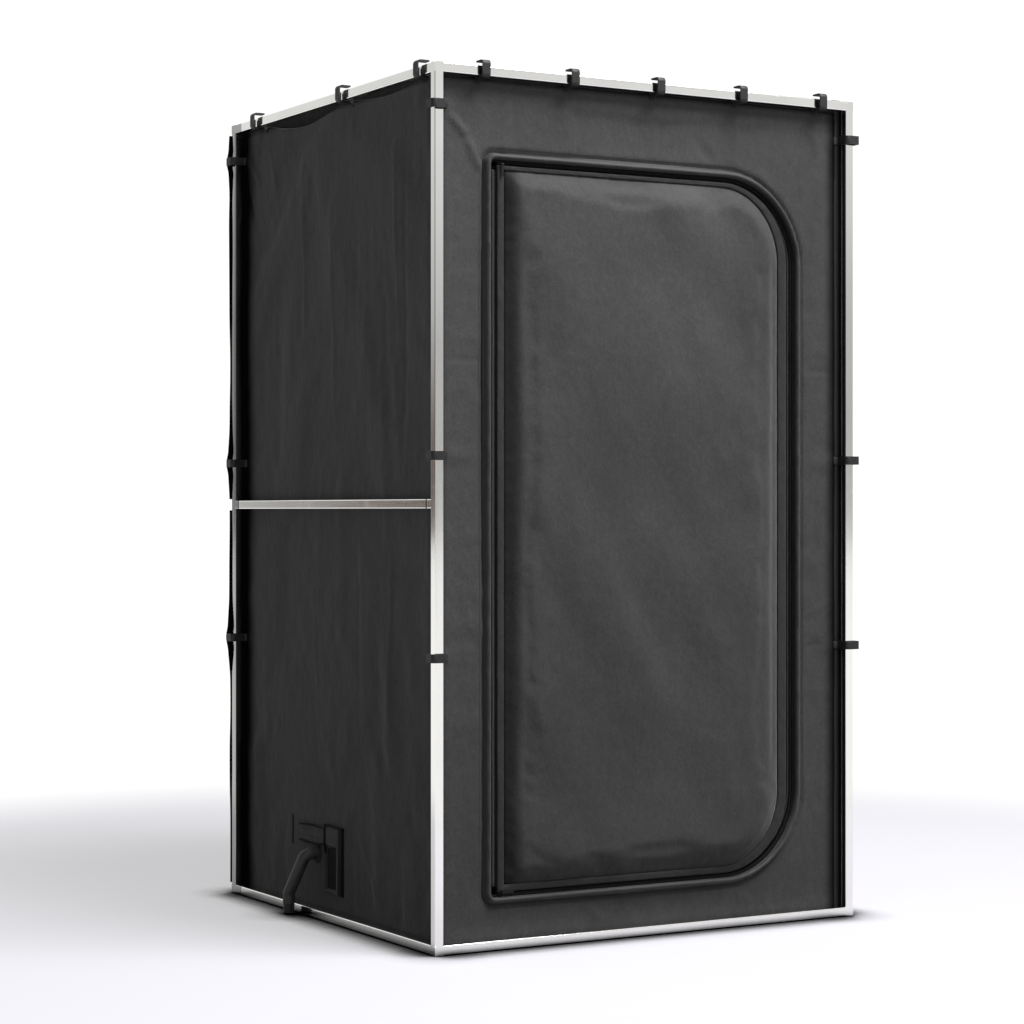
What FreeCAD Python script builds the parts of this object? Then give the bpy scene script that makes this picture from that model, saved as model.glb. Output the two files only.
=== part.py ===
import FreeCAD, Part
import math
import os

# A one-person portable steam sauna: a padded fabric tent that hangs on plastic hooks inside a
# plug-together frame of square stainless tube. Millimetres, +Z up, -Y is the door side, and the
# origin is the middle of the frame's footprint at floor level.

V = FreeCAD.Vector

# ---- frame ----
WIDTH = 1050.0            # outer size of the frame along X
DEPTH = 1010.0            # outer size of the frame along Y
HEIGHT = 1800.0           # outer size of the frame along Z
TUBE = 20.0               # outside of the square tube
TUBE_WALL = 1.2
TUBE_RADIUS = 2.5         # rounding of the tube's long edges
BORE_RADIUS = 1.0         # rounding inside the tube and on its necks
NECK = 16.6               # swaged tube end that plugs into a connector
NECK_BORE = 14.0
NECK_LENGTH = 17.5
SWAGE_LENGTH = 8.0        # thick stretch inside the tube, behind each neck
SOCKET = 16.7             # square socket that takes a neck
RAIL_LEG = 56.0           # reach of a corner connector's two rail legs, from its outer faces
POST_LEG = 38.0           # reach of its post leg
CORE = 20.0               # solid part of a connector at the corner
MID_HEIGHT = 910.0        # middle of the mid rails
MID_BODY = 38.0           # height of a mid connector
MID_WEB = 2.0             # wall between its two post sockets
STUB = 16.0               # reach of a mid connector's rail stub
COLLAR = 5.0              # plastic spacer ring between a stub and its mid rail

POST_X = (WIDTH - TUBE) / 2
POST_Y = (DEPTH - TUBE) / 2
TOP_RAIL_Z = HEIGHT - TUBE / 2
BOTTOM_RAIL_Z = TUBE / 2

# ---- snap buttons at the tops of the posts ----
BUTTON_DROP = 26.0        # button below the top of the frame
BUTTON_RADIUS = 3.5
BUTTON_CLEARANCE = 0.1
BUTTON_ROUND = 1.2        # rounding of its tip
BUTTON_PROUD = 3.0        # how far it stands out of the connector
LEAF = 1.0                # thickness of its leaf spring
LEAF_WIDTH = 9.0
LEAF_FRONT = 6.8          # front of the leaf from the post's axis
LEAF_BACK = -2.1
LEAF_TOP = 4.2            # above the button's axis
LEAF_DROP = 29.0          # below it
LEAF_RETURN = 20.0        # height of the short back leaf

# ---- tent ----
TENT_INSET = 25.0         # fabric planes inside the frame's outer planes
TENT_X = WIDTH / 2 - TENT_INSET
TENT_Y = DEPTH / 2 - TENT_INSET
TENT_TOP = 1788.0
WALL = 4.0                # quilted wall
BINDING = 5.0             # seam binding along the tent's edges
LINING = 1.0
LINING_GAP = 0.2
FLOOR = 3.0

# ---- doorway, a D with its straight side on the left ----
DOOR_HALF = 403.0         # outer edge of the welt
DOOR_LOW = 85.0
DOOR_HIGH = 1635.0
DOOR_ROUND = 205.0        # radius of the two right corners
DOOR_TIGHT = 22.0         # radius of the two left corners
WELT = 20.0               # width of the padded welt round the doorway
TAPE = 6.5                # width of each zip tape
COIL = 2.0                # width of each half of the zip's coil
ZIP_GAP = 1.0             # between the two halves
LIP_START = 36.0          # door edge binding, counted in from the welt's outer edge
LIP = 14.0
ZIP_MIDDLE = WELT + TAPE + COIL + ZIP_GAP / 2
ZIP_START_X = -366.0      # the zip runs from here along the top, right and bottom edges
WELT_FRONT = -TENT_Y - 9.0
WELT_BACK = -TENT_Y + 9.0
DOOR_FRONT = -TENT_Y - 4.0
LIP_FRONT = -TENT_Y - 2.0
DOOR_BACK = -TENT_Y + 6.0
TAPE_FRONT = -TENT_Y + 7.0
TAPE_BACK = -TENT_Y + 8.5
COIL_FRONT = -TENT_Y + 5.0
COIL_BACK = -TENT_Y + 10.0

# ---- zip sliders and pulls ----
SLIDER_X = -358.0         # both sliders' middle with the door closed
SLIDER_LENGTH = 12.0
SLIDER_HALF = 4.5
SLIDER_ROUND = 2.0        # rounding of its front plate, and of the pulls' tips
SLIDER_BACK_REACH = 8.8   # reach of its back plate over the door's tape
PLATE = 2.2
PLATE_GAP = 0.6           # between a slider plate and the coil
KEEL = 0.4                # web that runs between the two halves of the coil
BAIL_REACH = 8.0          # pull pin in front of the front plate
INNER_BAIL_REACH = 6.0
INNER_BAIL_SHIFT = 4.8    # middle of the inner pull pin from the zip's middle, towards the door
BAIL_HALF = 4.0
EAR = 1.0                 # thickness of the two ears that hold a pin
EAR_WIDTH = 2.4
PIN_RADIUS = 0.8
PULL_WIDTH = 5.0
PULL_LENGTH = 26.0
PULL_THICKNESS = 1.2
KNUCKLE_RADIUS = 1.8
PULL_EYE = 0.88

# ---- hooks: a C round the tube, with an inner tongue ----
HOOK_WIDTH = 18.0
HOOK_THICKNESS = 3.5
HOOK_LOW = -6.0           # across the tube, 0 at its side nearest the tent
HOOK_HIGH = 31.5
HOOK_FRONT = 11.5         # outwards from the tube's face
HOOK_ROOT = -24.0
HOOK_TIP = -17.0
HOOK_ROUND = 9.0
TONGUE_FRONT = 5.4
TONGUE_THICKNESS = 2.2
TONGUE_HIGH = 15.0
TAB_LOW = -10.0
TAB_HIGH = -2.0
FRONT_HOOK_PITCH = 212.0
FRONT_HOOK_X = 12.0       # middle hook of the row of five
SIDE_HOOK_Y = (-440.0, -80.0, 365.0)
POST_HOOK_Z = (599.0, 1007.0, 1715.0)

# ---- steam port in the left wall ----
PORT_Y = 92.0
PORT_Z = 138.5
PORT_RADIUS = 15.0
COLLAR_INNER = 14.7
COLLAR_OUTER = 20.0
COLLAR_REACH = 6.0
FLAP_Y = (52.0, 190.0)
FLAP_Z = (160.0, 199.5)
FLAP_X = (3.5, 2.0)       # outwards from the wall
POCKET_Y = (-40.0, 50.0)
POCKET_Z = (55.0, 205.0)
POCKET_MOUTH_Y = (-10.0, 44.0)
POCKET_MOUTH_Z = (66.0, 160.0)
POCKET_REACH = 3.0
POCKET_BACK = 1.0         # cloth behind the pocket's mouth
LOOP_TAPE = 1.2           # thickness of the fastener tape under the flap
LOOP_INSET = (8.0, 4.0)   # its place inside the flap's sides and above its lower edge
LOOP_HEIGHT = 14.0
SIDE_TAPE = 1.5           # thickness of the single tape beside the flap
SIDE_TAPE_Y = (216.0, 228.0)
SIDE_TAPE_Z = (145.0, 212.0)
HOSE_RADIUS = 13.5
HOSE_BORE = 11.5
HOSE_INNER_END_X = -432.0
HOSE_CORNER_X = -529.0    # where its level stretch would meet its slope
HOSE_FOOT = (-547.0, 141.0)
HOSE_FOOT_TOP = 46.0      # where its slope would meet its upright foot
HOSE_FOOT_LOW = 24.0
HOSE_BEND_RADIUS = 18.0
COUPLING_RADIUS = 12.5
COUPLING_LOW = 3.0
COUPLING_SPIGOT = 12.0    # how far its neck reaches up into the hose
COUPLING_BORE = 9.5
COUPLING_STOP = 16.0      # height where its bore narrows and stops the inlet
COUPLING_NECK_BORE = 9.0
COUPLING_ROUND = 0.6      # rounding of its rims
GRIP_CLEARANCE = 0.05
NOZZLE_RADIUS = 17.5
NOZZLE_LENGTH = 50.0
NOZZLE_SOCKET = 23.0
NOZZLE_CHAMBER = 14.5
NOZZLE_END = 3.0
NOZZLE_SLOT = 3.0         # width of each steam slot
NOZZLE_SLOTS = 6
NOZZLE_RIM = 4.0          # solid ring between the seat and the slots


def box(x0, x1, y0, y1, z0, z1):
    """Box between two corners; each pair may come in either order."""
    low = V(min(x0, x1), min(y0, y1), min(z0, z1))
    return Part.makeBox(abs(x1 - x0), abs(y1 - y0), abs(z1 - z0), low)


def edges_along(solid, axis):
    """The straight edges of a solid that run along "x", "y" or "z"."""
    direction = V(*[float(name == axis) for name in "xyz"])
    return [e for e in solid.Edges
            if isinstance(e.Curve, Part.Line) and abs(e.tangentAt(e.FirstParameter).dot(direction)) > 0.99]


def bar(axis, start, end, centre, size, radius=0.0):
    """Square bar along an axis; centre is its middle on the other two axes, in X, Y, Z order."""
    spans = [(c - size / 2, c + size / 2) for c in centre]
    spans.insert("xyz".index(axis), (start, end))
    solid = box(*spans[0], *spans[1], *spans[2])
    if radius:
        solid = solid.makeFillet(radius, edges_along(solid, axis))
    return solid


def cylinder(radius, start, end):
    """Round bar from one point to another."""
    return Part.makeCylinder(radius, (end - start).Length, start, end - start)


def tube(axis, start, end, centre):
    """Square tube between start and end, with a swaged neck standing out of each end."""
    neck_start = start - NECK_LENGTH
    neck_end = end + NECK_LENGTH
    solid = bar(axis, start, end, centre, TUBE, TUBE_RADIUS)
    solid = solid.fuse(bar(axis, neck_start, neck_end, centre, NECK, BORE_RADIUS))
    solid = solid.cut(bar(axis, neck_start - 1, neck_end + 1, centre, NECK_BORE))
    hollow = bar(axis, start + SWAGE_LENGTH, end - SWAGE_LENGTH, centre, TUBE - 2 * TUBE_WALL, BORE_RADIUS)
    return solid.cut(hollow).removeSplitter()


def button_spot(side_x):
    """Direction in which a post's snap button points: out to the right, or back on the left posts."""
    return V(1, 0, 0) if side_x > 0 else V(0, 1, 0)


def button_hole(side_x, side_y):
    """The round hole for the snap button, through a post's neck and its connector."""
    axis_point = V(side_x * POST_X, side_y * POST_Y, HEIGHT - BUTTON_DROP)
    outwards = button_spot(side_x)
    return cylinder(BUTTON_RADIUS + BUTTON_CLEARANCE, axis_point, axis_point + outwards * TUBE)


def snap_button(side_x, side_y):
    """Button on a folded leaf spring, inside the neck of the post's top."""
    axis_point = V(side_x * POST_X, side_y * POST_Y, HEIGHT - BUTTON_DROP)
    outwards = button_spot(side_x)
    tip = axis_point + outwards * (TUBE / 2 + BUTTON_PROUD)
    solid = cylinder(BUTTON_RADIUS, axis_point + outwards * (LEAF_FRONT - LEAF), tip)
    rim = [e for e in solid.Edges if (e.CenterOfMass - tip).Length < 0.01]
    solid = solid.makeFillet(BUTTON_ROUND, rim)
    half = LEAF_WIDTH / 2
    front = box(LEAF_FRONT - LEAF, LEAF_FRONT, -half, half, -LEAF_DROP, LEAF_TOP)
    fold = box(LEAF_BACK, LEAF_FRONT, -half, half, -LEAF_DROP, -LEAF_DROP + LEAF)
    back = box(LEAF_BACK, LEAF_BACK + LEAF, -half, half, -LEAF_DROP, -LEAF_DROP + LEAF_RETURN)
    leaf = front.fuse([fold, back]).removeSplitter()
    turn = 0.0 if side_x > 0 else 90.0
    leaf.rotate(V(0, 0, 0), V(0, 0, 1), turn)
    leaf.translate(axis_point)
    return solid.fuse(leaf).removeSplitter()


def corner_connector(side_x, side_y, side_z):
    """Three square legs that meet at a frame corner, each with a socket for a tube's neck."""
    x_out = side_x * WIDTH / 2
    y_out = side_y * DEPTH / 2
    z_out = HEIGHT if side_z > 0 else 0.0
    x_mid = side_x * POST_X
    y_mid = side_y * POST_Y
    z_mid = TOP_RAIL_Z if side_z > 0 else BOTTOM_RAIL_Z
    x_end = x_out - side_x * RAIL_LEG
    y_end = y_out - side_y * RAIL_LEG
    z_end = z_out - side_z * POST_LEG
    solid = bar("x", x_out, x_end, (y_mid, z_mid), TUBE, TUBE_RADIUS)
    solid = solid.fuse(bar("y", y_out, y_end, (x_mid, z_mid), TUBE, TUBE_RADIUS))
    solid = solid.fuse(bar("z", z_out, z_end, (x_mid, y_mid), TUBE, TUBE_RADIUS))
    solid = solid.cut(bar("x", x_out - side_x * CORE, x_end - side_x, (y_mid, z_mid), SOCKET))
    solid = solid.cut(bar("y", y_out - side_y * CORE, y_end - side_y, (x_mid, z_mid), SOCKET))
    solid = solid.cut(bar("z", z_out - side_z * CORE, z_end - side_z, (x_mid, y_mid), SOCKET))
    if side_z > 0:
        solid = solid.cut(button_hole(side_x, side_y))
    return solid


def mid_connector(side_x, side_y):
    """Joins a post's two halves and carries the stubs of the mid rails that meet there."""
    centre = (side_x * POST_X, side_y * POST_Y)
    low = MID_HEIGHT - MID_BODY / 2
    high = MID_HEIGHT + MID_BODY / 2
    solid = bar("z", low, high, centre, TUBE, TUBE_RADIUS)
    back = centre[1] - side_y * (TUBE / 2 + STUB)
    stubs = [("y", centre[1] - side_y * TUBE / 4, back, (centre[0], MID_HEIGHT), -side_y)]
    if side_y > 0:
        inner = centre[0] - side_x * (TUBE / 2 + STUB)
        stubs.append(("x", centre[0] - side_x * TUBE / 4, inner, (centre[1], MID_HEIGHT), -side_x))
    for axis, start, end, middle, _ in stubs:
        solid = solid.fuse(bar(axis, start, end, middle, TUBE, TUBE_RADIUS))
    for axis, start, end, middle, way in stubs:
        solid = solid.cut(bar(axis, end - way * (STUB - 2), end + way, middle, SOCKET))
    for start, end in ((low - 1, MID_HEIGHT - MID_WEB / 2), (MID_HEIGHT + MID_WEB / 2, high + 1)):
        solid = solid.cut(bar("z", start, end, centre, SOCKET))
    return solid


def mid_collar(axis, start, way, middle):
    """Plastic ring on a mid rail's neck."""
    ring = bar(axis, start, start + way * COLLAR, middle, TUBE, TUBE_RADIUS)
    return ring.cut(bar(axis, start - way, start + way * (COLLAR + 1), middle, SOCKET))


def frame_parts():
    """All tubes, connectors and buttons of the frame, by name."""
    parts = {}
    sides_x = {"left": -1, "right": 1}
    sides_y = {"front": -1, "back": 1}
    mid_low = MID_HEIGHT - MID_BODY / 2
    mid_high = MID_HEIGHT + MID_BODY / 2
    for y_name, sy in sides_y.items():
        for x_name, sx in sides_x.items():
            centre = (sx * POST_X, sy * POST_Y)
            name = y_name + "_" + x_name
            parts["post_lower_" + name] = tube("z", POST_LEG, mid_low, centre)
            upper = tube("z", mid_high, HEIGHT - POST_LEG, centre)
            parts["post_upper_" + name] = upper.cut(button_hole(sx, sy))
            parts["snap_button_" + name] = snap_button(sx, sy)
    rail_x = WIDTH / 2 - RAIL_LEG
    rail_y = DEPTH / 2 - RAIL_LEG
    for level, z in (("top", TOP_RAIL_Z), ("bottom", BOTTOM_RAIL_Z)):
        for y_name, sy in sides_y.items():
            parts[level + "_rail_" + y_name] = tube("x", -rail_x, rail_x, (sy * POST_Y, z))
        for x_name, sx in sides_x.items():
            parts[level + "_rail_" + x_name] = tube("y", -rail_y, rail_y, (sx * POST_X, z))
    stub_y = POST_Y - TUBE / 2 - STUB
    stub_x = POST_X - TUBE / 2 - STUB
    collars = []
    for x_name, sx in sides_x.items():
        middle = (sx * POST_X, MID_HEIGHT)
        parts["mid_rail_" + x_name] = tube("y", COLLAR - stub_y, stub_y - COLLAR, middle)
        collars += [mid_collar("y", -way * stub_y, way, middle) for way in (-1, 1)]
    back = (POST_Y, MID_HEIGHT)
    parts["mid_rail_back"] = tube("x", COLLAR - stub_x, stub_x - COLLAR, back)
    collars += [mid_collar("x", -way * stub_x, way, back) for way in (-1, 1)]
    corners = [(sx, sy) for sx in (-1, 1) for sy in (-1, 1)]
    for name, side_z in (("top_corner_connectors", 1), ("bottom_corner_connectors", -1)):
        parts[name] = Part.makeCompound([corner_connector(sx, sy, side_z) for sx, sy in corners])
    parts["mid_connectors"] = Part.makeCompound([mid_connector(sx, sy) for sx, sy in corners])
    parts["mid_rail_collars"] = Part.makeCompound(collars)
    return parts


def door_slab(inset, y0, y1):
    """Slab of the doorway's D shape, drawn in by inset from the welt's outer edge."""
    left = -DOOR_HALF + inset
    right = DOOR_HALF - inset
    solid = box(left, right, y0, y1, DOOR_LOW + inset, DOOR_HIGH - inset)
    across = edges_along(solid, "y")
    solid = solid.makeFillet(DOOR_ROUND - inset, [e for e in across if e.CenterOfMass.x > 0])
    across = [e for e in edges_along(solid, "y") if abs(e.CenterOfMass.x - left) < 0.1]
    return solid.makeFillet(max(DOOR_TIGHT - inset, 2.0), across)


def door_ring(inset, width, y0, y1):
    """Closed band along the doorway's outline."""
    return door_slab(inset, y0, y1).cut(door_slab(inset + width, y0 - 1, y1 + 1))


def zip_half(tape_inset, coil_inset):
    """One tape of the zip with its half of the coil, along the top, right and bottom edges."""
    half = door_ring(tape_inset, TAPE, TAPE_FRONT, TAPE_BACK)
    half = half.fuse(door_ring(coil_inset, COIL, COIL_FRONT, COIL_BACK))
    hinge_side = box(-DOOR_HALF, ZIP_START_X, -TENT_Y - 20, -TENT_Y + 20, 0, HEIGHT)
    return half.cut(hinge_side).removeSplitter()


def tent_wall(axis, outer, inner, along, with_door=False, with_port=False, high=TENT_TOP - BINDING):
    """Upright sheet across X ("x") or Y ("y") between two planes, spanning along on the other axis."""
    if axis == "y":
        solid = box(-along, along, outer, inner, BINDING, high)
    else:
        solid = box(outer, inner, -along, along, BINDING, high)
    if with_door:
        solid = solid.cut(door_slab(0.0, -TENT_Y - 20, -TENT_Y + 20))
    if with_port:
        outside = V(-TENT_X - 20, PORT_Y, PORT_Z)
        inside = V(-TENT_X + 20, PORT_Y, PORT_Z)
        solid = solid.cut(cylinder(PORT_RADIUS, outside, inside))
    return solid


def seam_bindings():
    """Square welts along the twelve edges of the tent."""
    x_low = TENT_X - BINDING
    y_low = TENT_Y - BINDING
    solids = []
    for sx in (-1, 1):
        for sy in (-1, 1):
            solids.append(box(sx * x_low, sx * TENT_X, sy * y_low, sy * TENT_Y, 0, TENT_TOP))
    for z0, z1 in ((0, BINDING), (TENT_TOP - BINDING, TENT_TOP)):
        for side in (-1, 1):
            solids.append(box(-x_low, x_low, side * y_low, side * TENT_Y, z0, z1))
            solids.append(box(side * x_low, side * TENT_X, -y_low, y_low, z0, z1))
    return Part.makeCompound(solids)


def inner_lining():
    """Thin reflective sheets just inside the four walls and the roof."""
    x_out = TENT_X - WALL - LINING_GAP
    y_out = TENT_Y - WALL - LINING_GAP
    x_in = x_out - LINING
    y_in = y_out - LINING
    span_x = x_in - LINING_GAP
    span_y = y_in - LINING_GAP
    roof = TENT_TOP - WALL - LINING_GAP
    top = roof - LINING - LINING_GAP
    sheets = [
        tent_wall("y", -y_out, -y_in, span_x, with_door=True, high=top),
        tent_wall("y", y_out, y_in, span_x, high=top),
        tent_wall("x", -x_out, -x_in, span_y, with_port=True, high=top),
        tent_wall("x", x_out, x_in, span_y, high=top),
        box(-span_x, span_x, -span_y, span_y, roof - LINING, roof),
    ]
    return Part.makeCompound(sheets)


def tent_parts():
    """Walls, roof, floor, lining and seam bindings of the tent."""
    span_x = TENT_X - BINDING
    span_y = TENT_Y - BINDING
    return {
        "wall_front": tent_wall("y", -TENT_Y, -TENT_Y + WALL, span_x, with_door=True),
        "wall_back": tent_wall("y", TENT_Y, TENT_Y - WALL, span_x),
        "wall_left": tent_wall("x", -TENT_X, -TENT_X + WALL, span_y, with_port=True),
        "wall_right": tent_wall("x", TENT_X, TENT_X - WALL, span_y),
        "roof": box(-span_x, span_x, -span_y, span_y, TENT_TOP - WALL, TENT_TOP),
        "tent_floor": box(-span_x, span_x, -span_y, span_y, 0, FLOOR),
        "inner_lining": inner_lining(),
        "seam_bindings": seam_bindings(),
    }


def door_parts():
    """Everything of the doorway and the door, apart from the zip's sliders."""
    coil_inner = ZIP_MIDDLE + ZIP_GAP / 2
    gusset_low = DOOR_LOW + 2 * WELT
    gusset_high = DOOR_HIGH - 2 * WELT
    left = -DOOR_HALF + WELT
    lining_back = DOOR_BACK + LINING_GAP + LINING
    return {
        "doorway_welt": door_ring(0.0, WELT, WELT_FRONT, WELT_BACK),
        "zip_frame_side": zip_half(WELT, ZIP_MIDDLE - ZIP_GAP / 2 - COIL),
        "zip_door_side": zip_half(LIP_START - TAPE, coil_inner),
        "door_gusset": box(left, left + TAPE, TAPE_FRONT, TAPE_BACK, gusset_low, gusset_high),
        "door_edge_binding": door_ring(LIP_START, LIP, LIP_FRONT, TAPE_BACK),
        "door_panel": door_slab(LIP_START + LIP, DOOR_FRONT, DOOR_BACK),
        "door_lining": door_slab(LIP_START + LIP, DOOR_BACK + LINING_GAP, lining_back),
    }


def bail(y_plate, reach, z, pin_axis):
    """Two short ears and a pin in front of a slider plate; reach is signed along Y."""
    middle = V(SLIDER_X, y_plate + reach, z)
    along = V(1, 0, 0) if pin_axis == "x" else V(0, 0, 1)
    solid = cylinder(PIN_RADIUS, middle - along * BAIL_HALF, middle + along * BAIL_HALF)
    way = math.copysign(1.0, reach)
    half_x, half_z = (EAR / 2, EAR_WIDTH / 2) if pin_axis == "x" else (EAR_WIDTH / 2, EAR / 2)
    for side in (-1, 1):
        ear = middle + along * side * (BAIL_HALF - EAR / 2)
        y_span = (y_plate - way * PLATE / 4, ear.y + way * EAR_WIDTH / 2)
        solid = solid.fuse(box(ear.x - half_x, ear.x + half_x, *y_span, ear.z - half_z, ear.z + half_z))
    return solid


def zip_slider(z, to_door, pin_axis):
    """Slider on the zip's door side. to_door is the way from the zip's middle to the door, along Z."""
    x0 = SLIDER_X - SLIDER_LENGTH / 2
    x1 = SLIDER_X + SLIDER_LENGTH / 2
    front = COIL_FRONT - PLATE_GAP
    back = COIL_BACK + PLATE_GAP
    door_edge = z + to_door * SLIDER_BACK_REACH
    keel_start = z - to_door * KEEL / 2
    solid = box(x0, x1, front - PLATE, front, z - SLIDER_HALF, z + SLIDER_HALF)
    solid = solid.makeFillet(SLIDER_ROUND, edges_along(solid, "y"))
    solid = solid.fuse(box(x0, x1, front - PLATE / 2, back + PLATE, keel_start, keel_start + to_door * KEEL))
    solid = solid.fuse(box(x0, x1, back, back + PLATE, keel_start, door_edge))
    solid = solid.fuse(bail(front - PLATE, -BAIL_REACH, z, pin_axis))
    inner_z = z + to_door * INNER_BAIL_SHIFT
    solid = solid.fuse(bail(back + PLATE, INNER_BAIL_REACH, inner_z, pin_axis))
    return solid.removeSplitter()


def zip_pull(y, z, pin_axis):
    """Flat tab with an eye on the slider's pin; it hangs down, or lies along +X on an upright pin."""
    middle = V(SLIDER_X, y, z)
    along = V(1, 0, 0) if pin_axis == "x" else V(0, 0, 1)
    reach = V(0, 0, -1) if pin_axis == "x" else V(1, 0, 0)
    half = PULL_WIDTH / 2
    end = middle + reach * PULL_LENGTH
    thick = (y - PULL_THICKNESS / 2, y + PULL_THICKNESS / 2)
    if pin_axis == "x":
        tab = box(middle.x - half, middle.x + half, *thick, middle.z, end.z)
    else:
        tab = box(middle.x, end.x, *thick, middle.z - half, middle.z + half)
    tip = [e for e in edges_along(tab, "y") if abs((e.CenterOfMass - end).dot(reach)) < 0.1]
    tab = tab.makeFillet(SLIDER_ROUND, tip)
    eye_start = middle - along * half
    eye_end = middle + along * half
    tab = tab.fuse(cylinder(KNUCKLE_RADIUS, eye_start, eye_end))
    return tab.cut(cylinder(PULL_EYE, eye_start - along, eye_end + along)).removeSplitter()


def zip_hardware():
    """Two sliders, each with a pull outside and one inside."""
    parts = {}
    outer_y = COIL_FRONT - PLATE_GAP - PLATE - BAIL_REACH
    inner_y = COIL_BACK + PLATE_GAP + PLATE + INNER_BAIL_REACH
    for name, z, to_door, pin_axis in (
        ("upper", DOOR_HIGH - ZIP_MIDDLE, -1, "x"),
        ("lower", DOOR_LOW + ZIP_MIDDLE, 1, "z"),
    ):
        inner_z = z + to_door * INNER_BAIL_SHIFT
        parts[name + "_zip_slider"] = zip_slider(z, to_door, pin_axis)
        parts[name + "_zip_pull"] = zip_pull(outer_y, z, pin_axis)
        parts[name + "_zip_inner_pull"] = zip_pull(inner_y, inner_z, pin_axis)
    return parts


def placed(solid, origin, across, outwards):
    """Moves a solid from its own axes to the frame: its X runs along across, its Y along outwards."""
    along = across.cross(outwards)
    matrix = FreeCAD.Matrix(
        across.x, outwards.x, along.x, origin.x,
        across.y, outwards.y, along.y, origin.y,
        across.z, outwards.z, along.z, origin.z,
        0, 0, 0, 1,
    )
    solid.Placement = FreeCAD.Placement(matrix)
    return solid


def hook():
    """C-shaped hook. X runs across the tube's face from the tent side, Y outwards from that face."""
    half = HOOK_WIDTH / 2
    solid = box(HOOK_LOW, HOOK_HIGH, HOOK_ROOT, HOOK_FRONT, -half, half)
    outer = [e for e in edges_along(solid, "z") if e.CenterOfMass.y > 0]
    solid = solid.makeFillet(HOOK_ROUND, outer)
    hollow = box(HOOK_LOW + HOOK_THICKNESS, HOOK_HIGH - HOOK_THICKNESS,
                 HOOK_ROOT - 1, HOOK_FRONT - HOOK_THICKNESS, -half - 1, half + 1)
    inner = [e for e in edges_along(hollow, "z") if e.CenterOfMass.y > 0]
    solid = solid.cut(hollow.makeFillet(HOOK_ROUND - HOOK_THICKNESS, inner))
    solid = solid.cut(box(TUBE / 2, HOOK_HIGH + 1, HOOK_ROOT - 1, HOOK_TIP, -half - 1, half + 1))
    low = HOOK_LOW + HOOK_THICKNESS / 2
    tongue = box(low, TONGUE_HIGH, TONGUE_FRONT - TONGUE_THICKNESS, TONGUE_FRONT, -half / 2, half / 2)
    return solid.fuse(tongue).removeSplitter()


def hook_tab():
    """Webbing that sews a hook's root to the tent's binding."""
    half = HOOK_WIDTH / 2 - 1
    return box(TAB_LOW, TAB_HIGH, -TENT_INSET, HOOK_ROOT, -half, half)


def hook_places():
    """(origin on the tube's near edge, across, outwards) for the top hooks and the post hooks."""
    top = []
    post = []
    rail_low = HEIGHT - TUBE
    for side in (-1, 1):
        for step in range(-2, 3):
            x = FRONT_HOOK_X + step * FRONT_HOOK_PITCH
            top.append((V(x, side * DEPTH / 2, rail_low), V(0, 0, 1), V(0, side, 0)))
        for y in SIDE_HOOK_Y:
            top.append((V(side * WIDTH / 2, y, rail_low), V(0, 0, 1), V(side, 0, 0)))
        for z in POST_HOOK_Z:
            front = V(side * (WIDTH / 2 - TUBE), -DEPTH / 2, z)
            back = V(side * WIDTH / 2, DEPTH / 2 - TUBE, z)
            post.append((front, V(side, 0, 0), V(0, -1, 0)))
            post.append((back, V(0, 1, 0), V(side, 0, 0)))
    return top, post


def hook_parts():
    """Hooks on the top rails, hooks on the posts, and the webbing that holds them to the tent."""
    top, post = hook_places()
    return {
        "top_rail_hooks": Part.makeCompound([placed(hook(), *place) for place in top]),
        "post_hooks": Part.makeCompound([placed(hook(), *place) for place in post]),
        "hook_tabs": Part.makeCompound([placed(hook_tab(), *place) for place in top + post]),
    }


def hose_wire():
    """Centre line of the steam hose: level through the wall, a slope and an upright foot, with bends."""
    corners = [
        V(HOSE_INNER_END_X, PORT_Y, PORT_Z),
        V(HOSE_CORNER_X, PORT_Y, PORT_Z),
        V(*HOSE_FOOT, HOSE_FOOT_TOP),
        V(*HOSE_FOOT, HOSE_FOOT_LOW),
    ]
    edges = []
    reached = corners[0]
    for before, corner, after in zip(corners, corners[1:], corners[2:]):
        way_in = (corner - before).normalize()
        way_out = (after - corner).normalize()
        half_turn = way_in.getAngle(way_out) / 2
        trim = HOSE_BEND_RADIUS * math.tan(half_turn)
        depth = HOSE_BEND_RADIUS * (1 / math.cos(half_turn) - 1)
        start = corner - way_in * trim
        middle = corner + (way_out - way_in).normalize() * depth
        end = corner + way_out * trim
        edges.append(Part.LineSegment(reached, start).toShape())
        edges.append(Part.Arc(start, middle, end).toShape())
        reached = end
    edges.append(Part.LineSegment(reached, corners[-1]).toShape())
    return Part.Wire(edges)


def swept(radius):
    """Round rod along the hose's centre line."""
    start = V(HOSE_INNER_END_X, PORT_Y, PORT_Z)
    ring = Part.Wire([Part.makeCircle(radius, start, V(-1, 0, 0))])
    return hose_wire().makePipeShell([ring], True, False)


def hose_coupling():
    """Plug in the hose's foot, with the bore that takes a steam generator's outlet."""
    low = V(*HOSE_FOOT, COUPLING_LOW)
    stop = V(*HOSE_FOOT, COUPLING_STOP)
    seat = V(*HOSE_FOOT, HOSE_FOOT_LOW)
    up = V(0, 0, 1)
    top = seat + up * COUPLING_SPIGOT
    solid = cylinder(COUPLING_RADIUS, low, seat)
    solid = solid.makeFillet(COUPLING_ROUND, [e for e in solid.Edges if isinstance(e.Curve, Part.Circle)])
    solid = solid.fuse(cylinder(HOSE_BORE - GRIP_CLEARANCE, seat - up, top))
    solid = solid.cut(cylinder(COUPLING_BORE, low - up, stop))
    return solid.cut(cylinder(COUPLING_NECK_BORE, stop - up, top + up))


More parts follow.
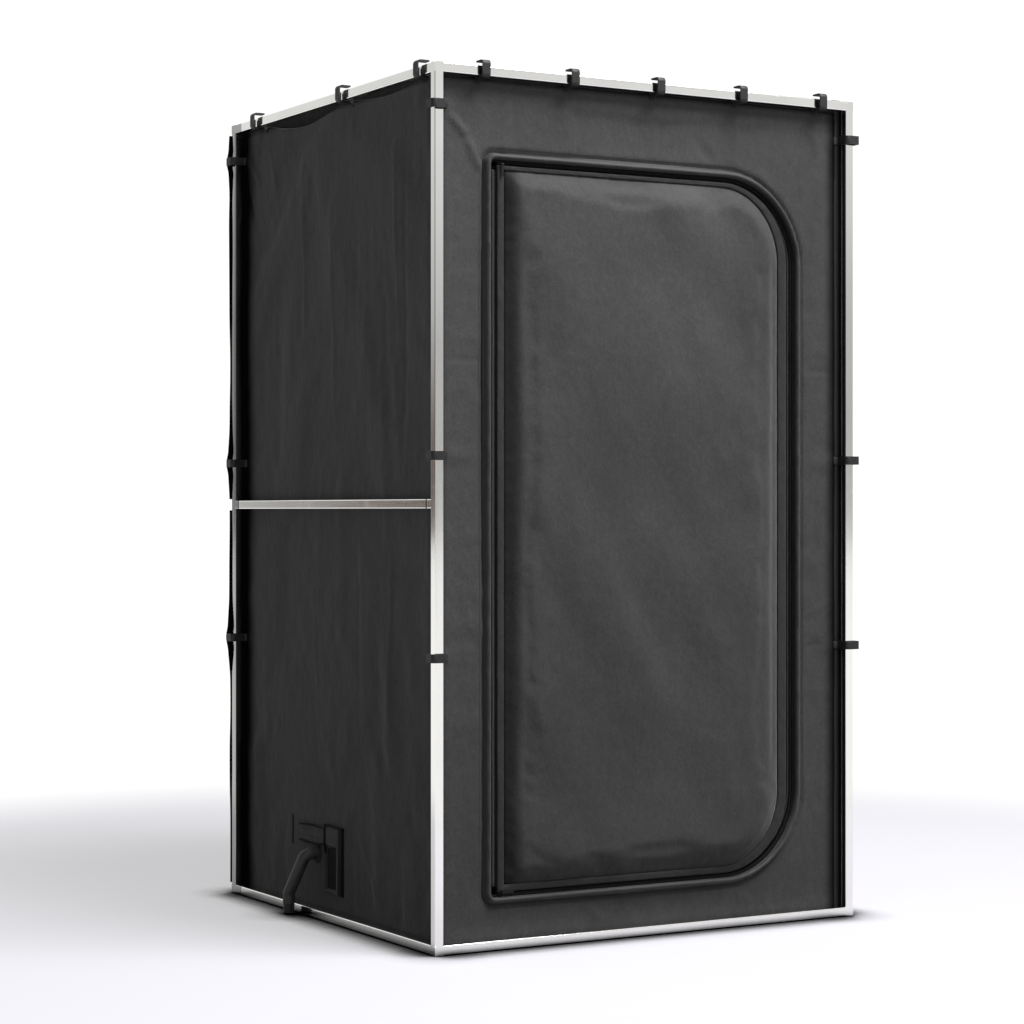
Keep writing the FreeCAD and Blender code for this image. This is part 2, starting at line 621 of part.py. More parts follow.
def steam_nozzle():
    """Slotted cup on the hose's inner end that spreads the steam."""
    start = V(HOSE_INNER_END_X - NOZZLE_SOCKET, PORT_Y, PORT_Z)
    seat = V(HOSE_INNER_END_X, PORT_Y, PORT_Z)
    end = start + V(NOZZLE_LENGTH, 0, 0)
    chamber_end = end - V(NOZZLE_END, 0, 0)
    solid = cylinder(NOZZLE_RADIUS, start, end)
    solid = solid.cut(cylinder(HOSE_RADIUS + GRIP_CLEARANCE, start - V(1, 0, 0), seat))
    solid = solid.cut(cylinder(NOZZLE_CHAMBER, seat + V(1, 0, 0), chamber_end))
    solid = solid.cut(cylinder(HOSE_BORE, start, chamber_end))
    for step in range(NOZZLE_SLOTS):
        slot_x = (seat.x + NOZZLE_RIM, chamber_end.x - NOZZLE_END)
        slot = box(*slot_x, -NOZZLE_SLOT / 2, NOZZLE_SLOT / 2, 0, 2 * NOZZLE_RADIUS)
        slot.rotate(V(0, 0, 0), V(1, 0, 0), step * 360.0 / NOZZLE_SLOTS)
        slot.translate(V(0, PORT_Y, PORT_Z))
        solid = solid.cut(slot)
    return solid


def port_parts():
    """Collar, cover flap and side pocket of the steam port, with the hose through it."""
    wall = -TENT_X
    port = V(wall, PORT_Y, PORT_Z)
    out = V(-1, 0, 0)
    collar = cylinder(COLLAR_OUTER, port, port + out * COLLAR_REACH)
    collar = collar.cut(cylinder(COLLAR_INNER, port - out, port + out * (COLLAR_REACH + 1)))
    pocket = box(wall, wall - POCKET_REACH, *POCKET_Y, *POCKET_Z)
    pocket = pocket.cut(box(wall - POCKET_BACK, wall - POCKET_REACH - 1, *POCKET_MOUTH_Y, *POCKET_MOUTH_Z))
    loop_y = (FLAP_Y[0] + LOOP_INSET[0], FLAP_Y[1] - LOOP_INSET[0])
    loop_low = FLAP_Z[0] + LOOP_INSET[1]
    loop = box(wall, wall - LOOP_TAPE, *loop_y, loop_low, loop_low + LOOP_HEIGHT)
    side_tape = box(wall, wall - SIDE_TAPE, *SIDE_TAPE_Y, *SIDE_TAPE_Z)
    return {
        "port_collar": collar,
        "port_flap": box(wall - FLAP_X[0], wall - FLAP_X[1], *FLAP_Y, *FLAP_Z),
        "port_pocket": pocket,
        "flap_fastener_tapes": Part.makeCompound([loop, side_tape]),
        "steam_hose": swept(HOSE_RADIUS).cut(swept(HOSE_BORE)),
        "hose_coupling": hose_coupling(),
        "steam_nozzle": steam_nozzle(),
    }


def main():
    os.makedirs("parts", exist_ok=True)
    parts = {}
    for group in (frame_parts, tent_parts, door_parts, zip_hardware, hook_parts, port_parts):
        parts.update(group())
    for name, shape in parts.items():
        shape.exportStep(os.path.join("parts", name + ".step"))
    print(len(parts), "sub-parts written")


main()
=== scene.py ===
import math

import bmesh
import bpy
import numpy as np
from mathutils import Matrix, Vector


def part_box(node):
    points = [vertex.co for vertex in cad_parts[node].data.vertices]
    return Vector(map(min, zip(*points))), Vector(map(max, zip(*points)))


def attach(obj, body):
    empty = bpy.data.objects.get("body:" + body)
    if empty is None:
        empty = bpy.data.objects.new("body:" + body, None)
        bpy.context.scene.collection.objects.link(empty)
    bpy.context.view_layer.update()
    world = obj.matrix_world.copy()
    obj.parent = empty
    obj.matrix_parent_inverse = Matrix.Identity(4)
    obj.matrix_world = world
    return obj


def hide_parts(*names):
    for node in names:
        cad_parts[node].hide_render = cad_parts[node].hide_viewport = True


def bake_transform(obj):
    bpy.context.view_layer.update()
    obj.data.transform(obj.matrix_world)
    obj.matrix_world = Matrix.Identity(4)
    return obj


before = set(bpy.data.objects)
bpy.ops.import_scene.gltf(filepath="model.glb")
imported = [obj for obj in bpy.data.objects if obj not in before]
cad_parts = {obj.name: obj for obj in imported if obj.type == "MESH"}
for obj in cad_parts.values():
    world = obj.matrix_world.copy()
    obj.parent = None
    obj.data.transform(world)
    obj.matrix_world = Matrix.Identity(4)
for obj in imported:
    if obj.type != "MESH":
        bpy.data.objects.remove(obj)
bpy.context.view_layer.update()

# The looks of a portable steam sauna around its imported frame: sewn tent, padded door, zip, port and
# hose, plus the finish of every tube, hook and fitting. Metres, +Z up, -Y is the door side.

ROOT = "tent_and_frame"
MM = 0.001

# ---- places, all from the frame ----
tent_low, tent_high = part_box("seam_bindings")
wall_boxes = {side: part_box("wall_" + side) for side in ("front", "back", "left", "right")}
welt_low, welt_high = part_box("doorway_welt")
lip_low, lip_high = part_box("door_edge_binding")
panel_low, panel_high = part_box("door_panel")
gusset_low, gusset_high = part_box("door_gusset")
tape_low, tape_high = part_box("zip_frame_side")
door_lining_low, door_lining_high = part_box("door_lining")
collar_low, collar_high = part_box("port_collar")
flap_low, flap_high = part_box("port_flap")
pocket_low, pocket_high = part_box("port_pocket")
tapes_low, tapes_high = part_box("flap_fastener_tapes")
port_y = (collar_low.y + collar_high.y) / 2
port_z = (collar_low.z + collar_high.z) / 2
port_low_y, port_high_y = pocket_low.y, tapes_high.y
front_y = tent_low.y
left_x = tent_low.x

# ---- cloth sizes ----
CORNER_ROUND = 15 * MM        # rounding of the tent's upright corners
WALL_CLOTH = 3.4 * MM
PIPING = 2.4 * MM             # radius of the piping along the seams
GRID = 6.5 * MM               # spacing of the wall sheets
DOOR_ROUND = 205 * MM         # radius of the doorway's two right corners
DOOR_TIGHT = 30 * MM
LEAST_ROUND = 2 * MM
WELT = 20 * MM
WELT_DIP = 6.0 * MM            # depth of the valley where the welt is sewn in
LIP = 14 * MM
LIP_OVERHANG = 1.5 * MM       # how far the lip stands out over the zip
BEVEL = 33 * MM               # sloping rim of the padded door
PAD_RISE = 20 * MM            # from the door's seam to its flat middle
STITCH = 4.2 * MM             # pitch of the stitches
THREAD = 0.45 * MM
FRONT_SHADE = 40 * MM          # how far the shade beside an upright seam reaches, on the front
SIDE_SHADE = 62 * MM           # and on the sides
PAD_SHADE = 44 * MM            # and beside the hinge, on the door
ROOF_SKIRT = 36 * MM           # how far the roof cloth hangs down inside the walls
DRAPE = 16 * MM                # spacing of the sheets in the cloth simulation of the walls

door_left, door_right = welt_low.x, welt_high.x
door_low, door_high = welt_low.z, welt_high.z
lip_inset = lip_low.x - door_left
panel_inset = panel_low.x - door_left

top_hooks_front = [-0.412, -0.200, 0.012, 0.224, 0.436]
top_hooks_side = [-0.440, -0.080, 0.365]
post_hooks_z = [0.599, 1.007, 1.715]

MOUTH_Y, MOUTH_HALF_Y = 0.017, 0.025      # mouth of the pocket beside the steam port
MOUTH_Z, MOUTH_HALF_Z = 0.113, 0.047
POCKET_BAND = 20 * MM


# ------------------------------------------------------------------ shader building
class Shader:
    """A material's node tree, with short calls for its nodes."""

    def __init__(self, name):
        self.material = bpy.data.materials.new(name)
        self.material.use_nodes = True
        self.tree = self.material.node_tree
        self.tree.nodes.clear()
        self.out = self.tree.nodes.new("ShaderNodeOutputMaterial")
        self.place = self.node("TexCoord").outputs["Object"]

    def node(self, kind, settings=None, **inputs):
        """A node with its settings; each input is a number, a tuple or another node's socket."""
        made = self.tree.nodes.new("ShaderNode" + kind)
        for key, value in (settings or {}).items():
            setattr(made, key, value)
        for key, value in inputs.items():
            socket = made.inputs[int(key[1:])] if key[0] == "_" else made.inputs[key.replace("_", " ")]
            if isinstance(value, bpy.types.NodeSocket):
                self.tree.links.new(value, socket)
            else:
                socket.default_value = value
        return made

    def math(self, operation, a, b=0.0, clamp=False):
        return self.node("Math", {"operation": operation, "use_clamp": clamp}, _0=a, _1=b).outputs[0]

    def scaled(self, x, y, z):
        """The object's coordinates, stretched along each axis."""
        return self.node("Mapping", Vector=self.place, Scale=(x, y, z)).outputs[0]

    def noise(self, scale, detail=2.0, rough=0.5, stretch=(1, 1, 1)):
        where = self.scaled(*stretch)
        return self.node("TexNoise", Vector=where, Scale=scale, Detail=detail, Roughness=rough).outputs[0]

    def ramp(self, value, *stops):
        """Colour ramp with (position, colour) stops; a colour is one grey level or three numbers."""
        ramp = self.node("ValToRGB", Fac=value)
        elements = ramp.color_ramp.elements
        while len(elements) < len(stops):
            elements.new(0.5)
        for element, (position, colour) in zip(elements, stops):
            element.position = position
            colour = (colour,) * 3 if isinstance(colour, (int, float)) else colour
            element.color = (*colour, 1.0)
        return ramp.outputs[0]

    def bump(self, height, distance, strength=1.0, under=None):
        made = self.node("Bump", Height=height, Distance=distance, Strength=strength)
        if under is not None:
            self.tree.links.new(under, made.inputs["Normal"])
        return made.outputs[0]

    def finish(self, **inputs):
        surface = self.node("BsdfPrincipled", **inputs)
        self.tree.links.new(surface.outputs[0], self.out.inputs[0])
        return self.material


def weave(shader, axes, pitch):
    """Height of a plain weave on the plane of two axes, from -1 to 1."""
    split = shader.node("SeparateXYZ", Vector=shader.place)
    waves = []
    for axis in axes:
        turn = shader.math("MULTIPLY", split.outputs[axis], math.pi / pitch)
        waves.append(shader.math("SINE", turn))
    return shader.math("MULTIPLY", *waves)


def seam_shade(s, place):
    """Painted shade for a spot of cloth, from 0 to 1, multiplied into its colour, sheen and specular: the frame's
    shade under the top seam and beside the upright seams (only the right one on the front), and the welt's
    shade on the door beside the hinge."""
    x, y, z = s.node("SeparateXYZ", Vector=s.place).outputs

    def rise(value, low, high, least):
        return s.node("MapRange", {"interpolation_type": "SMOOTHSTEP"}, Value=value, From_Min=low, From_Max=high,
                      To_Min=least, To_Max=1.0).outputs[0]

    # painted shade on the door beside the hinge
    if place == "door":
        return rise(s.math("SUBTRACT", x, door_left + panel_inset), 0.3 * PAD_SHADE, PAD_SHADE, 0.42)
    # painted shade on the seam piping and corner flanges: nearly black on the left half, darker towards the right posts
    if place == "seam":
        lit = rise(s.math("SUBTRACT", tent_high.x + 4 * MM, x), 0.0, 9 * MM, 0.05)
        return s.math("MAXIMUM", s.math("MULTIPLY", lit, s.math("GREATER_THAN", x, 0.0)), 0.08)
    # painted shade of the frame beside the upright seams and under the top seam
    if place == "front":
        beside = rise(s.math("SUBTRACT", tent_high.x, x), 0.1 * FRONT_SHADE, FRONT_SHADE, 0.04)
    else:
        beside = rise(s.math("SUBTRACT", tent_high.y, s.math("ABSOLUTE", y)), 0.15 * SIDE_SHADE, SIDE_SHADE, 0.04)
    under = rise(s.math("SUBTRACT", tent_high.z, z), 8 * MM, 24 * MM, 0.15)
    return s.math("MULTIPLY", beside, under)


def cloth_material(name, axes, tone, pitch=1.3 * MM, rough=0.78, sheen=0.12, specular=0.28, place=None):
    """Coated plain-weave polyester in charcoal, lighter and darker in patches, with painted shade by its seams when
    given a place.
    """
    s = Shader(name)
    stretch = {"XZ": (1, 1, 0.35), "YZ": (1, 1, 0.35), "XY": (1, 0.6, 1)}[axes]
    patches = s.noise(3.2, 3.0, 0.55, stretch)
    grain = s.noise(170, 3.0, 0.6)
    flecks = s.noise(64, 4.0, 0.65, (1, 1, 0.8))
    patches = s.math("ADD", s.math("MULTIPLY", patches, 0.6), s.math("MULTIPLY", flecks, 0.4))
    tint = s.ramp(patches, (0.32, 0.74), (0.68, 1.28))
    fine = s.ramp(grain, (0.25, 0.80), (0.75, 1.20))
    mixed = s.node("Mix", {"data_type": "RGBA", "blend_type": "MULTIPLY"}, _0=1.0, _6=tint, _7=fine).outputs[2]
    base = s.node("Mix", {"data_type": "RGBA", "blend_type": "MULTIPLY"}, _0=1.0, _6=mixed,
                  _7=(*tone, 1.0)).outputs[2]
    # painted shade beside the seams, in the colour, sheen and specular
    if place:
        shade = seam_shade(s, place)
        base = s.node("Mix", {"data_type": "RGBA", "blend_type": "MULTIPLY"}, _0=1.0, _6=base, _7=shade).outputs[2]
        sheen = s.math("MULTIPLY", shade, sheen)
        specular = s.math("MULTIPLY", shade, specular)
    threads = weave(s, ["XYZ".index(axis) for axis in axes], pitch)
    crumple = s.noise(38, 3.0, 0.55, (1, 1, 0.75))
    normal = s.bump(crumple, 2.6 * MM, 0.7)
    normal = s.bump(grain, 0.6 * MM, 0.75, normal)
    normal = s.bump(threads, 0.12 * MM, 0.5, normal)
    roughness = s.math("MULTIPLY_ADD", grain, 0.16)
    roughness.node.inputs[2].default_value = rough - 0.08
    return s.finish(Base_Color=base, Roughness=roughness, Normal=normal, Sheen_Weight=sheen,
                    Sheen_Roughness=0.45, Specular_IOR_Level=specular)


def steel_material(name, axis, tone=(0.83, 0.825, 0.80)):
    """Satin stainless tube, brushed along its length, with painted shade on the back left post."""
    s = Shader(name)
    along = {"X": (1.2, 300, 300), "Y": (300, 1.2, 300), "Z": (300, 300, 1.2)}[axis]
    streaks = s.noise(4.0, 4.0, 0.6, along)
    cloud = s.noise(7.0, 2.0)
    base = s.ramp(cloud, (0.3, tuple(c * 0.94 for c in tone)), (0.7, tone))
    if axis == "Z":        # the loose edge of the back panel darkens the back left post
        # painted shade: the back left post's colour is darkened for the shade of the back panel's loose edge
        x, y, _ = s.node("SeparateXYZ", Vector=s.place).outputs
        dark = s.node("MapRange", Value=s.math("SUBTRACT", y, x), From_Min=0.8, From_Max=0.95, To_Min=1.0,
                      To_Max=0.42).outputs[0]
        base = s.node("Mix", {"data_type": "RGBA", "blend_type": "MULTIPLY"}, _0=1.0, _6=base, _7=dark).outputs[2]
    roughness = s.ramp(streaks, (0.3, 0.05), (0.7, 0.14))
    smears = s.ramp(s.noise(22, 4.0, 0.65), (0.58, 0.0), (0.85, 0.07))
    roughness = s.math("ADD", roughness, smears)
    normal = s.bump(streaks, 0.02 * MM, 0.2)
    return s.finish(Base_Color=base, Metallic=1.0, Roughness=roughness, Normal=normal)


def spring_steel_material():
    """Dull, slightly blued spring steel of the snap buttons."""
    s = Shader("button_steel")
    cloud = s.noise(300, 3.0, 0.6)
    base = s.ramp(cloud, (0.3, (0.20, 0.205, 0.215)), (0.7, (0.42, 0.42, 0.42)))
    roughness = s.ramp(cloud, (0.3, 0.28), (0.7, 0.45))
    return s.finish(Base_Color=base, Metallic=1.0, Roughness=roughness, Normal=s.bump(cloud, 0.05 * MM, 0.4))


def plastic_material(name, tone, grain=1400, rough=0.42, scuffs=0.5):
    """Moulded plastic with a fine spark-eroded grain and a few paler scuffs."""
    s = Shader(name)
    texture = s.noise(grain, 2.0, 0.5)
    marks = s.ramp(s.noise(90, 5.0, 0.7, (1, 1, 0.3)), (0.58, 0.0), (0.75, scuffs))
    base = s.node("Mix", {"data_type": "RGBA"}, _0=marks, _6=(*tone, 1.0),
                  _7=(*(min(1.0, c * 2.2 + 0.01) for c in tone), 1.0)).outputs[2]
    roughness = s.ramp(texture, (0.3, rough - 0.06), (0.7, rough + 0.1))
    return s.finish(Base_Color=base, Roughness=roughness, Normal=s.bump(texture, 0.05 * MM, 0.5),
                    Specular_IOR_Level=0.3)


def hose_material():
    """Soft dark grey hose with fine moulding rings and a dusty bloom."""
    s = Shader("hose_rubber")
    dust = s.noise(55, 4.0, 0.65)
    base = s.ramp(dust, (0.35, (0.034, 0.034, 0.035)), (0.75, (0.06, 0.06, 0.061)))
    rings = s.node("TexWave", {"wave_type": "BANDS", "bands_direction": "Z"}, Vector=s.place, Scale=260.0,
                   Distortion=0.4).outputs["Fac"]
    normal = s.bump(rings, 0.15 * MM, 0.35)
    normal = s.bump(s.noise(700, 2.0), 0.05 * MM, 0.5, normal)
    roughness = s.ramp(dust, (0.3, 0.42), (0.7, 0.6))
    return s.finish(Base_Color=base, Roughness=roughness, Normal=normal, Specular_IOR_Level=0.4)


def webbing_material(name, tone, ribs=0.9 * MM):
    """Narrow woven tape with ribs across it."""
    s = Shader(name)
    split = s.node("SeparateXYZ", Vector=s.place)
    total = s.math("ADD", s.math("ADD", split.outputs[0], split.outputs[1]), split.outputs[2])
    rib = s.math("SINE", s.math("MULTIPLY", total, 2 * math.pi / ribs))
    fuzz = s.noise(900, 3.0, 0.6)
    base = s.ramp(fuzz, (0.3, tuple(c * 0.75 for c in tone)), (0.7, tuple(c * 1.25 for c in tone)))
    normal = s.bump(rib, 0.18 * MM, 0.5)
    normal = s.bump(fuzz, 0.15 * MM, 0.6, normal)
    return s.finish(Base_Color=base, Roughness=0.82, Normal=normal, Sheen_Weight=0.15, Specular_IOR_Level=0.25)


def foil_material(name):
    """Silver heat-reflecting lining: aluminised cloth with a crinkled skin and quilt lines."""
    s = Shader(name)
    crinkle = s.node("TexVoronoi", {"feature": "F1", "distance": "MANHATTAN"}, Vector=s.place, Scale=55.0).outputs[0]
    fine = s.noise(240, 4.0, 0.7)
    base = s.ramp(fine, (0.3, (0.52, 0.525, 0.54)), (0.7, (0.74, 0.745, 0.76)))
    normal = s.bump(crinkle, 0.9 * MM, 0.45)
    normal = s.bump(fine, 0.3 * MM, 0.5, normal)
    return s.finish(Base_Color=base, Metallic=0.75, Roughness=s.ramp(fine, (0.3, 0.3), (0.7, 0.48)), Normal=normal)


def nylon_material(name, tone, rough=0.38, specular=0.5):
    """Drawn nylon of the zip's coil and of the sewing thread."""
    s = Shader(name)
    fuzz = s.noise(1800, 2.0)
    base = s.ramp(fuzz, (0.3, tuple(c * 0.8 for c in tone)), (0.7, tuple(c * 1.3 for c in tone)))
    return s.finish(Base_Color=base, Roughness=rough, Normal=s.bump(fuzz, 0.04 * MM, 0.5),
                    Specular_IOR_Level=specular)


def enamel_material():
    """Matt black enamelled zinc of the zip's sliders and pulls, a little rubbed."""
    s = Shader("zip_metal")
    rub = s.noise(420, 5.0, 0.7)
    base = s.ramp(rub, (0.6, (0.004, 0.004, 0.0042)), (0.8, (0.012, 0.012, 0.012)))
    return s.finish(Base_Color=base, Roughness=s.ramp(rub, (0.3, 0.5), (0.7, 0.65)),
                    Normal=s.bump(rub, 0.04 * MM, 0.5), Specular_IOR_Level=0.2)


CHARCOAL = (0.034, 0.034, 0.0343)
DARK = (0.020, 0.020, 0.0203)
BLACK = (0.0035, 0.0035, 0.0036)
# the wall, door and seam cloths carry painted shade near the frame, the hinge and the posts
wall_cloth = {"XZ": cloth_material("tent_cloth_front", "XZ", CHARCOAL, place="front"),
              "YZ": cloth_material("tent_cloth_side", "YZ", CHARCOAL, place="side")}
door_cloth = cloth_material("door_cloth", "XZ", CHARCOAL, place="door")
binding_cloth = cloth_material("binding_cloth", "XZ", (0.027, 0.027, 0.0273), pitch=0.9 * MM, rough=0.62,
                               specular=0.30)
lip_cloth = cloth_material("lip_cloth", "XZ", (0.021, 0.021, 0.0213), pitch=0.9 * MM, rough=0.68, specular=0.16)
seam_cloth = cloth_material("seam_cloth", "XZ", DARK, pitch=0.9 * MM, place="seam")
black_cloth = cloth_material("black_cloth", "XZ", BLACK, pitch=0.9 * MM, sheen=0.02, specular=0.1)
dark_cloth = cloth_material("dark_cloth", "XZ", DARK, pitch=0.9 * MM)
floor_cloth = cloth_material("floor_cloth", "XY", DARK, pitch=1.8 * MM, rough=0.6)
foil = foil_material("lining_foil")
black_tape = webbing_material("black_tape", BLACK)
hook_webbing = webbing_material("hook_webbing", (0.02, 0.02, 0.0205), 1.4 * MM)
coil_nylon = nylon_material("coil_nylon", (0.003, 0.003, 0.0031), 0.6, 0.12)
thread = nylon_material("thread", (0.022, 0.022, 0.0225), 0.6)
enamel = enamel_material()
hook_plastic = plastic_material("hook_plastic", (0.014, 0.014, 0.0145), rough=0.5, scuffs=0.35)
fitting_plastic = plastic_material("hose_plastic", (0.018, 0.018, 0.0185))
rubber = hose_material()
button_steel = spring_steel_material()
steel = {axis: steel_material("frame_steel_" + axis.lower(), axis) for axis in "XYZ"}


# ------------------------------------------------------------------ frame pieces that keep their shape
def tube_axis(name):
    """The way a tube runs, from its name."""
    if name.startswith("post"):
        return "Z"
    return "X" if name.endswith(("front", "back")) else "Y"


def soften(node, width):
    """Rounds a fitting's hard edges a little, so that they catch the light."""
    weld = node.modifiers.new("weld", "WELD")
    weld.merge_threshold = 0.002 * MM
    bevel = node.modifiers.new("bevel", "BEVEL")
    bevel.width = width
    bevel.segments = 2
    bevel.limit_method = "ANGLE"
    bevel.angle_limit = math.radians(40)
    bevel.harden_normals = True


def finish_frame():
    """Gives every kept node its material."""
    for name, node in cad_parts.items():
        if name.startswith("post_hooks") or name.startswith("top_rail_hooks"):
            finish = hook_plastic
            soften(node, 0.5 * MM)
        elif name.startswith(("post_", "top_rail", "bottom_rail")):
            finish = steel[tube_axis(name)]
        elif name in ("top_corner_connectors", "bottom_corner_connectors", "mid_connectors"):
            finish = steel["Z"]
        elif name == "mid_rail_collars":
            finish = hook_plastic
        elif name.startswith("mid_rail"):
            finish = steel[tube_axis(name)]
        elif name.startswith("snap_button"):
            finish = button_steel
        elif "slider" in name or "pull" in name:
            finish = enamel
            soften(node, 0.25 * MM)
        elif name == "steam_hose":
            finish = rubber
        elif name in ("hose_coupling", "steam_nozzle"):
            finish = fitting_plastic
        else:
            continue
        node.data.materials.clear()
        node.data.materials.append(finish)


# ------------------------------------------------------------------ mesh building
def smooth_step(value):
    value = np.clip(value, 0.0, 1.0)
    return value * value * (3 - 2 * value)


def soft_noise(u, v, seed):
    """Smooth noise from -1 to 1, one bump per unit of u and v."""
    table = np.random.default_rng(seed).uniform(-1, 1, (64, 64))
    column, row = np.floor(u).astype(int), np.floor(v).astype(int)
    s, t = u - column, v - row
    s, t = s ** 3 * (s * (s * 6 - 15) + 10), t ** 3 * (t * (t * 6 - 15) + 10)
    c0, c1, r0, r1 = column % 64, (column + 1) % 64, row % 64, (row + 1) % 64
    near = table[c0, r0] * (1 - s) + table[c1, r0] * s
    far = table[c0, r1] * (1 - s) + table[c1, r1] * s
    return near * (1 - t) + far * t


def rows_between(start, end, spacing):
    """Evenly spaced values from start to end, both included."""
    return np.linspace(start, end, max(2, int(round(abs(end - start) / spacing)) + 1))


def make_mesh(name, points, quads, outward=True):
    """Mesh from points (n, 3) and four-cornered faces (m, 4), without unused points. outward turns the
    faces of each closed part to its outside."""
    used, quads = np.unique(quads, return_inverse=True)
    points = np.asarray(points, np.float32)[used]
    quads = quads.reshape(-1, 4)
    mesh = bpy.data.meshes.new(name)
    mesh.vertices.add(len(points))
    mesh.vertices.foreach_set("co", points.ravel())
    mesh.loops.add(quads.size)
    mesh.loops.foreach_set("vertex_index", quads.ravel().astype(np.int32))
    mesh.polygons.add(len(quads))
    mesh.polygons.foreach_set("loop_start", np.arange(0, quads.size, 4, dtype=np.int32))
    mesh.update(calc_edges=True)
    if outward:
        work = bmesh.new()
        work.from_mesh(mesh)
        bmesh.ops.recalc_face_normals(work, faces=work.faces)
        work.to_mesh(mesh)
        work.free()
    mesh.shade_smooth()
    return mesh


def add_piece(name, mesh, material, body=ROOT, replaces=()):
    """Shows a mesh as a piece of the object that moves with a body."""
    mesh.materials.append(material)
    piece = bpy.data.objects.new(name, mesh)
    bpy.context.scene.collection.objects.link(piece)
    if body:
        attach(piece, body)
    if replaces:
        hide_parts(*replaces)
    return piece


def shell(front, back, keep=None, loop=False):
    """Closed cloth between two grids of points (rows, columns, 3). keep marks the cells that exist;
    loop joins the last row to the first."""
    rows, columns = front.shape[:2]
    index = np.arange(rows * columns).reshape(rows, columns)
    if loop:
        index = np.vstack([index, index[:1]])
    cells = (index.shape[0] - 1, columns - 1)
    keep = np.ones(cells, bool) if keep is None else keep
    padded = np.zeros((cells[0] + 2, cells[1] + 2), bool)
    padded[1:-1, 1:-1] = keep
    if loop:
        padded[0, 1:-1], padded[-1, 1:-1] = keep[-1], keep[0]
    a, b, c, d = index[:-1, :-1], index[1:, :-1], index[1:, 1:], index[:-1, 1:]
    far = rows * columns
    faces = [np.stack([a, b, c, d], -1)[keep], np.stack([d, c, b, a], -1)[keep] + far]
    edges = (
        (a, b, padded[1:-1, :-2]), (b, c, padded[2:, 1:-1]),
        (c, d, padded[1:-1, 2:]), (d, a, padded[:-2, 1:-1]),
    )
    for start, end, neighbour in edges:
        rim = keep & ~neighbour
        s, e = start[rim], end[rim]
        faces.append(np.stack([s, s + far, e + far, e], -1))
    points = np.concatenate([front.reshape(-1, 3), back.reshape(-1, 3)])
    return points, np.concatenate(faces)


def tube_along(path, radius, sides=8, closed=False, across=None):
    """Points and faces of a round cord of one radius, or a radius per point, along a path (n, 3)."""
    path = np.asarray(path, float)
    tangent = np.roll(path, -1, 0) - np.roll(path, 1, 0)
    if not closed:
        tangent[0], tangent[-1] = path[1] - path[0], path[-1] - path[-2]
    tangent /= np.linalg.norm(tangent, axis=1)[:, None]
    reference = np.array(across if across is not None else (0, 1, 0), float)
    side = np.cross(tangent, reference)
    side /= np.maximum(np.linalg.norm(side, axis=1), 1e-9)[:, None]
    up = np.cross(side, tangent)
    angle = np.arange(sides) * 2 * math.pi / sides
    radius = np.broadcast_to(radius, len(path))[:, None, None]
    ring = side[:, None] * np.cos(angle)[None, :, None] + up[:, None] * np.sin(angle)[None, :, None]
    points = path[:, None] + ring * radius
    index = np.arange(len(path) * sides).reshape(len(path), sides)
    if closed:
        index = np.vstack([index, index[:1]])
    index = np.hstack([index, index[:, :1]])
    faces = np.stack([index[:-1, :-1], index[1:, :-1], index[1:, 1:], index[:-1, 1:]], -1).reshape(-1, 4)
    return points.reshape(-1, 3), faces


def join(parts):
    """One point and face list from several."""
    points, faces, count = [], [], 0
    for some_points, some_faces in parts:
        points.append(some_points)
        faces.append(some_faces + count)
        count += len(some_points)
    return np.concatenate(points), np.concatenate(faces)


def stitches(path, out, pitch=STITCH, fill=0.72, proud=0.15 * MM):
    """Short threads laid end to end along a path (n, 3); out is the way they stand off the cloth."""
    path = np.asarray(path, float) + np.asarray(out, float) * proud
    steps = np.linalg.norm(np.diff(path, axis=0), axis=1)
    length = np.concatenate([[0.0], np.cumsum(steps)])
    count = int(length[-1] / pitch)
    starts = np.arange(count) * pitch
    shape = np.array([0.0, 0.12, 0.5, 0.88, 1.0])
    thick = np.array([0.35, 0.9, 1.0, 0.9, 0.35]) * THREAD
    rise = np.array([-0.5, 0.3, 0.6, 0.3, -0.5]) * THREAD
    along = starts[:, None] + shape[None] * pitch * fill
    places = np.stack([np.interp(along, length, path[:, axis]) for axis in range(3)], -1)
    places += np.asarray(out, float) * rise[None, :, None]
    sides = 6
    tangent = places[:, -1] - places[:, 0]
    tangent /= np.maximum(np.linalg.norm(tangent, axis=1), 1e-9)[:, None]
    side = np.cross(tangent, np.asarray(out, float))
    side /= np.maximum(np.linalg.norm(side, axis=1), 1e-9)[:, None]
    up = np.cross(side, tangent)
    angle = np.arange(sides) * 2 * math.pi / sides
    ring = side[:, None] * np.cos(angle)[None, :, None] + up[:, None] * np.sin(angle)[None, :, None]
    points = places[:, :, None] + ring[:, None] * thick[None, :, None, None]
    index = np.arange(count * len(shape) * sides).reshape(count, len(shape), sides)
    index = np.concatenate([index, index[:, :, :1]], 2)
    faces = np.stack([index[:, :-1, :-1], index[:, 1:, :-1], index[:, 1:, 1:], index[:, :-1, 1:]], -1)
    first, last = index[:, 0], index[:, -1]
    caps = [ends[:, corners] for ends in (first, last) for corners in ((0, 1, 2, 3), (0, 3, 4, 5))]
    return points.reshape(-1, 3), np.concatenate([faces.reshape(-1, 4), *caps])


# ------------------------------------------------------------------ walls
def crease(u, z, start, end, width, height):
    """Soft ridge (or valley, when height is negative) along a line on a wall."""
    start, end = np.array(start), np.array(end)
    way = end - start
    length = np.linalg.norm(way)
    way = way / length
    along = (u - start[0]) * way[0] + (z - start[1]) * way[1]
    off = (z - start[1]) * way[0] - (u - start[0]) * way[1]
    fade = smooth_step(np.minimum(along, length - along) / (0.25 * length))
    return height * fade * np.exp(-np.abs(off / width) ** 1.5)


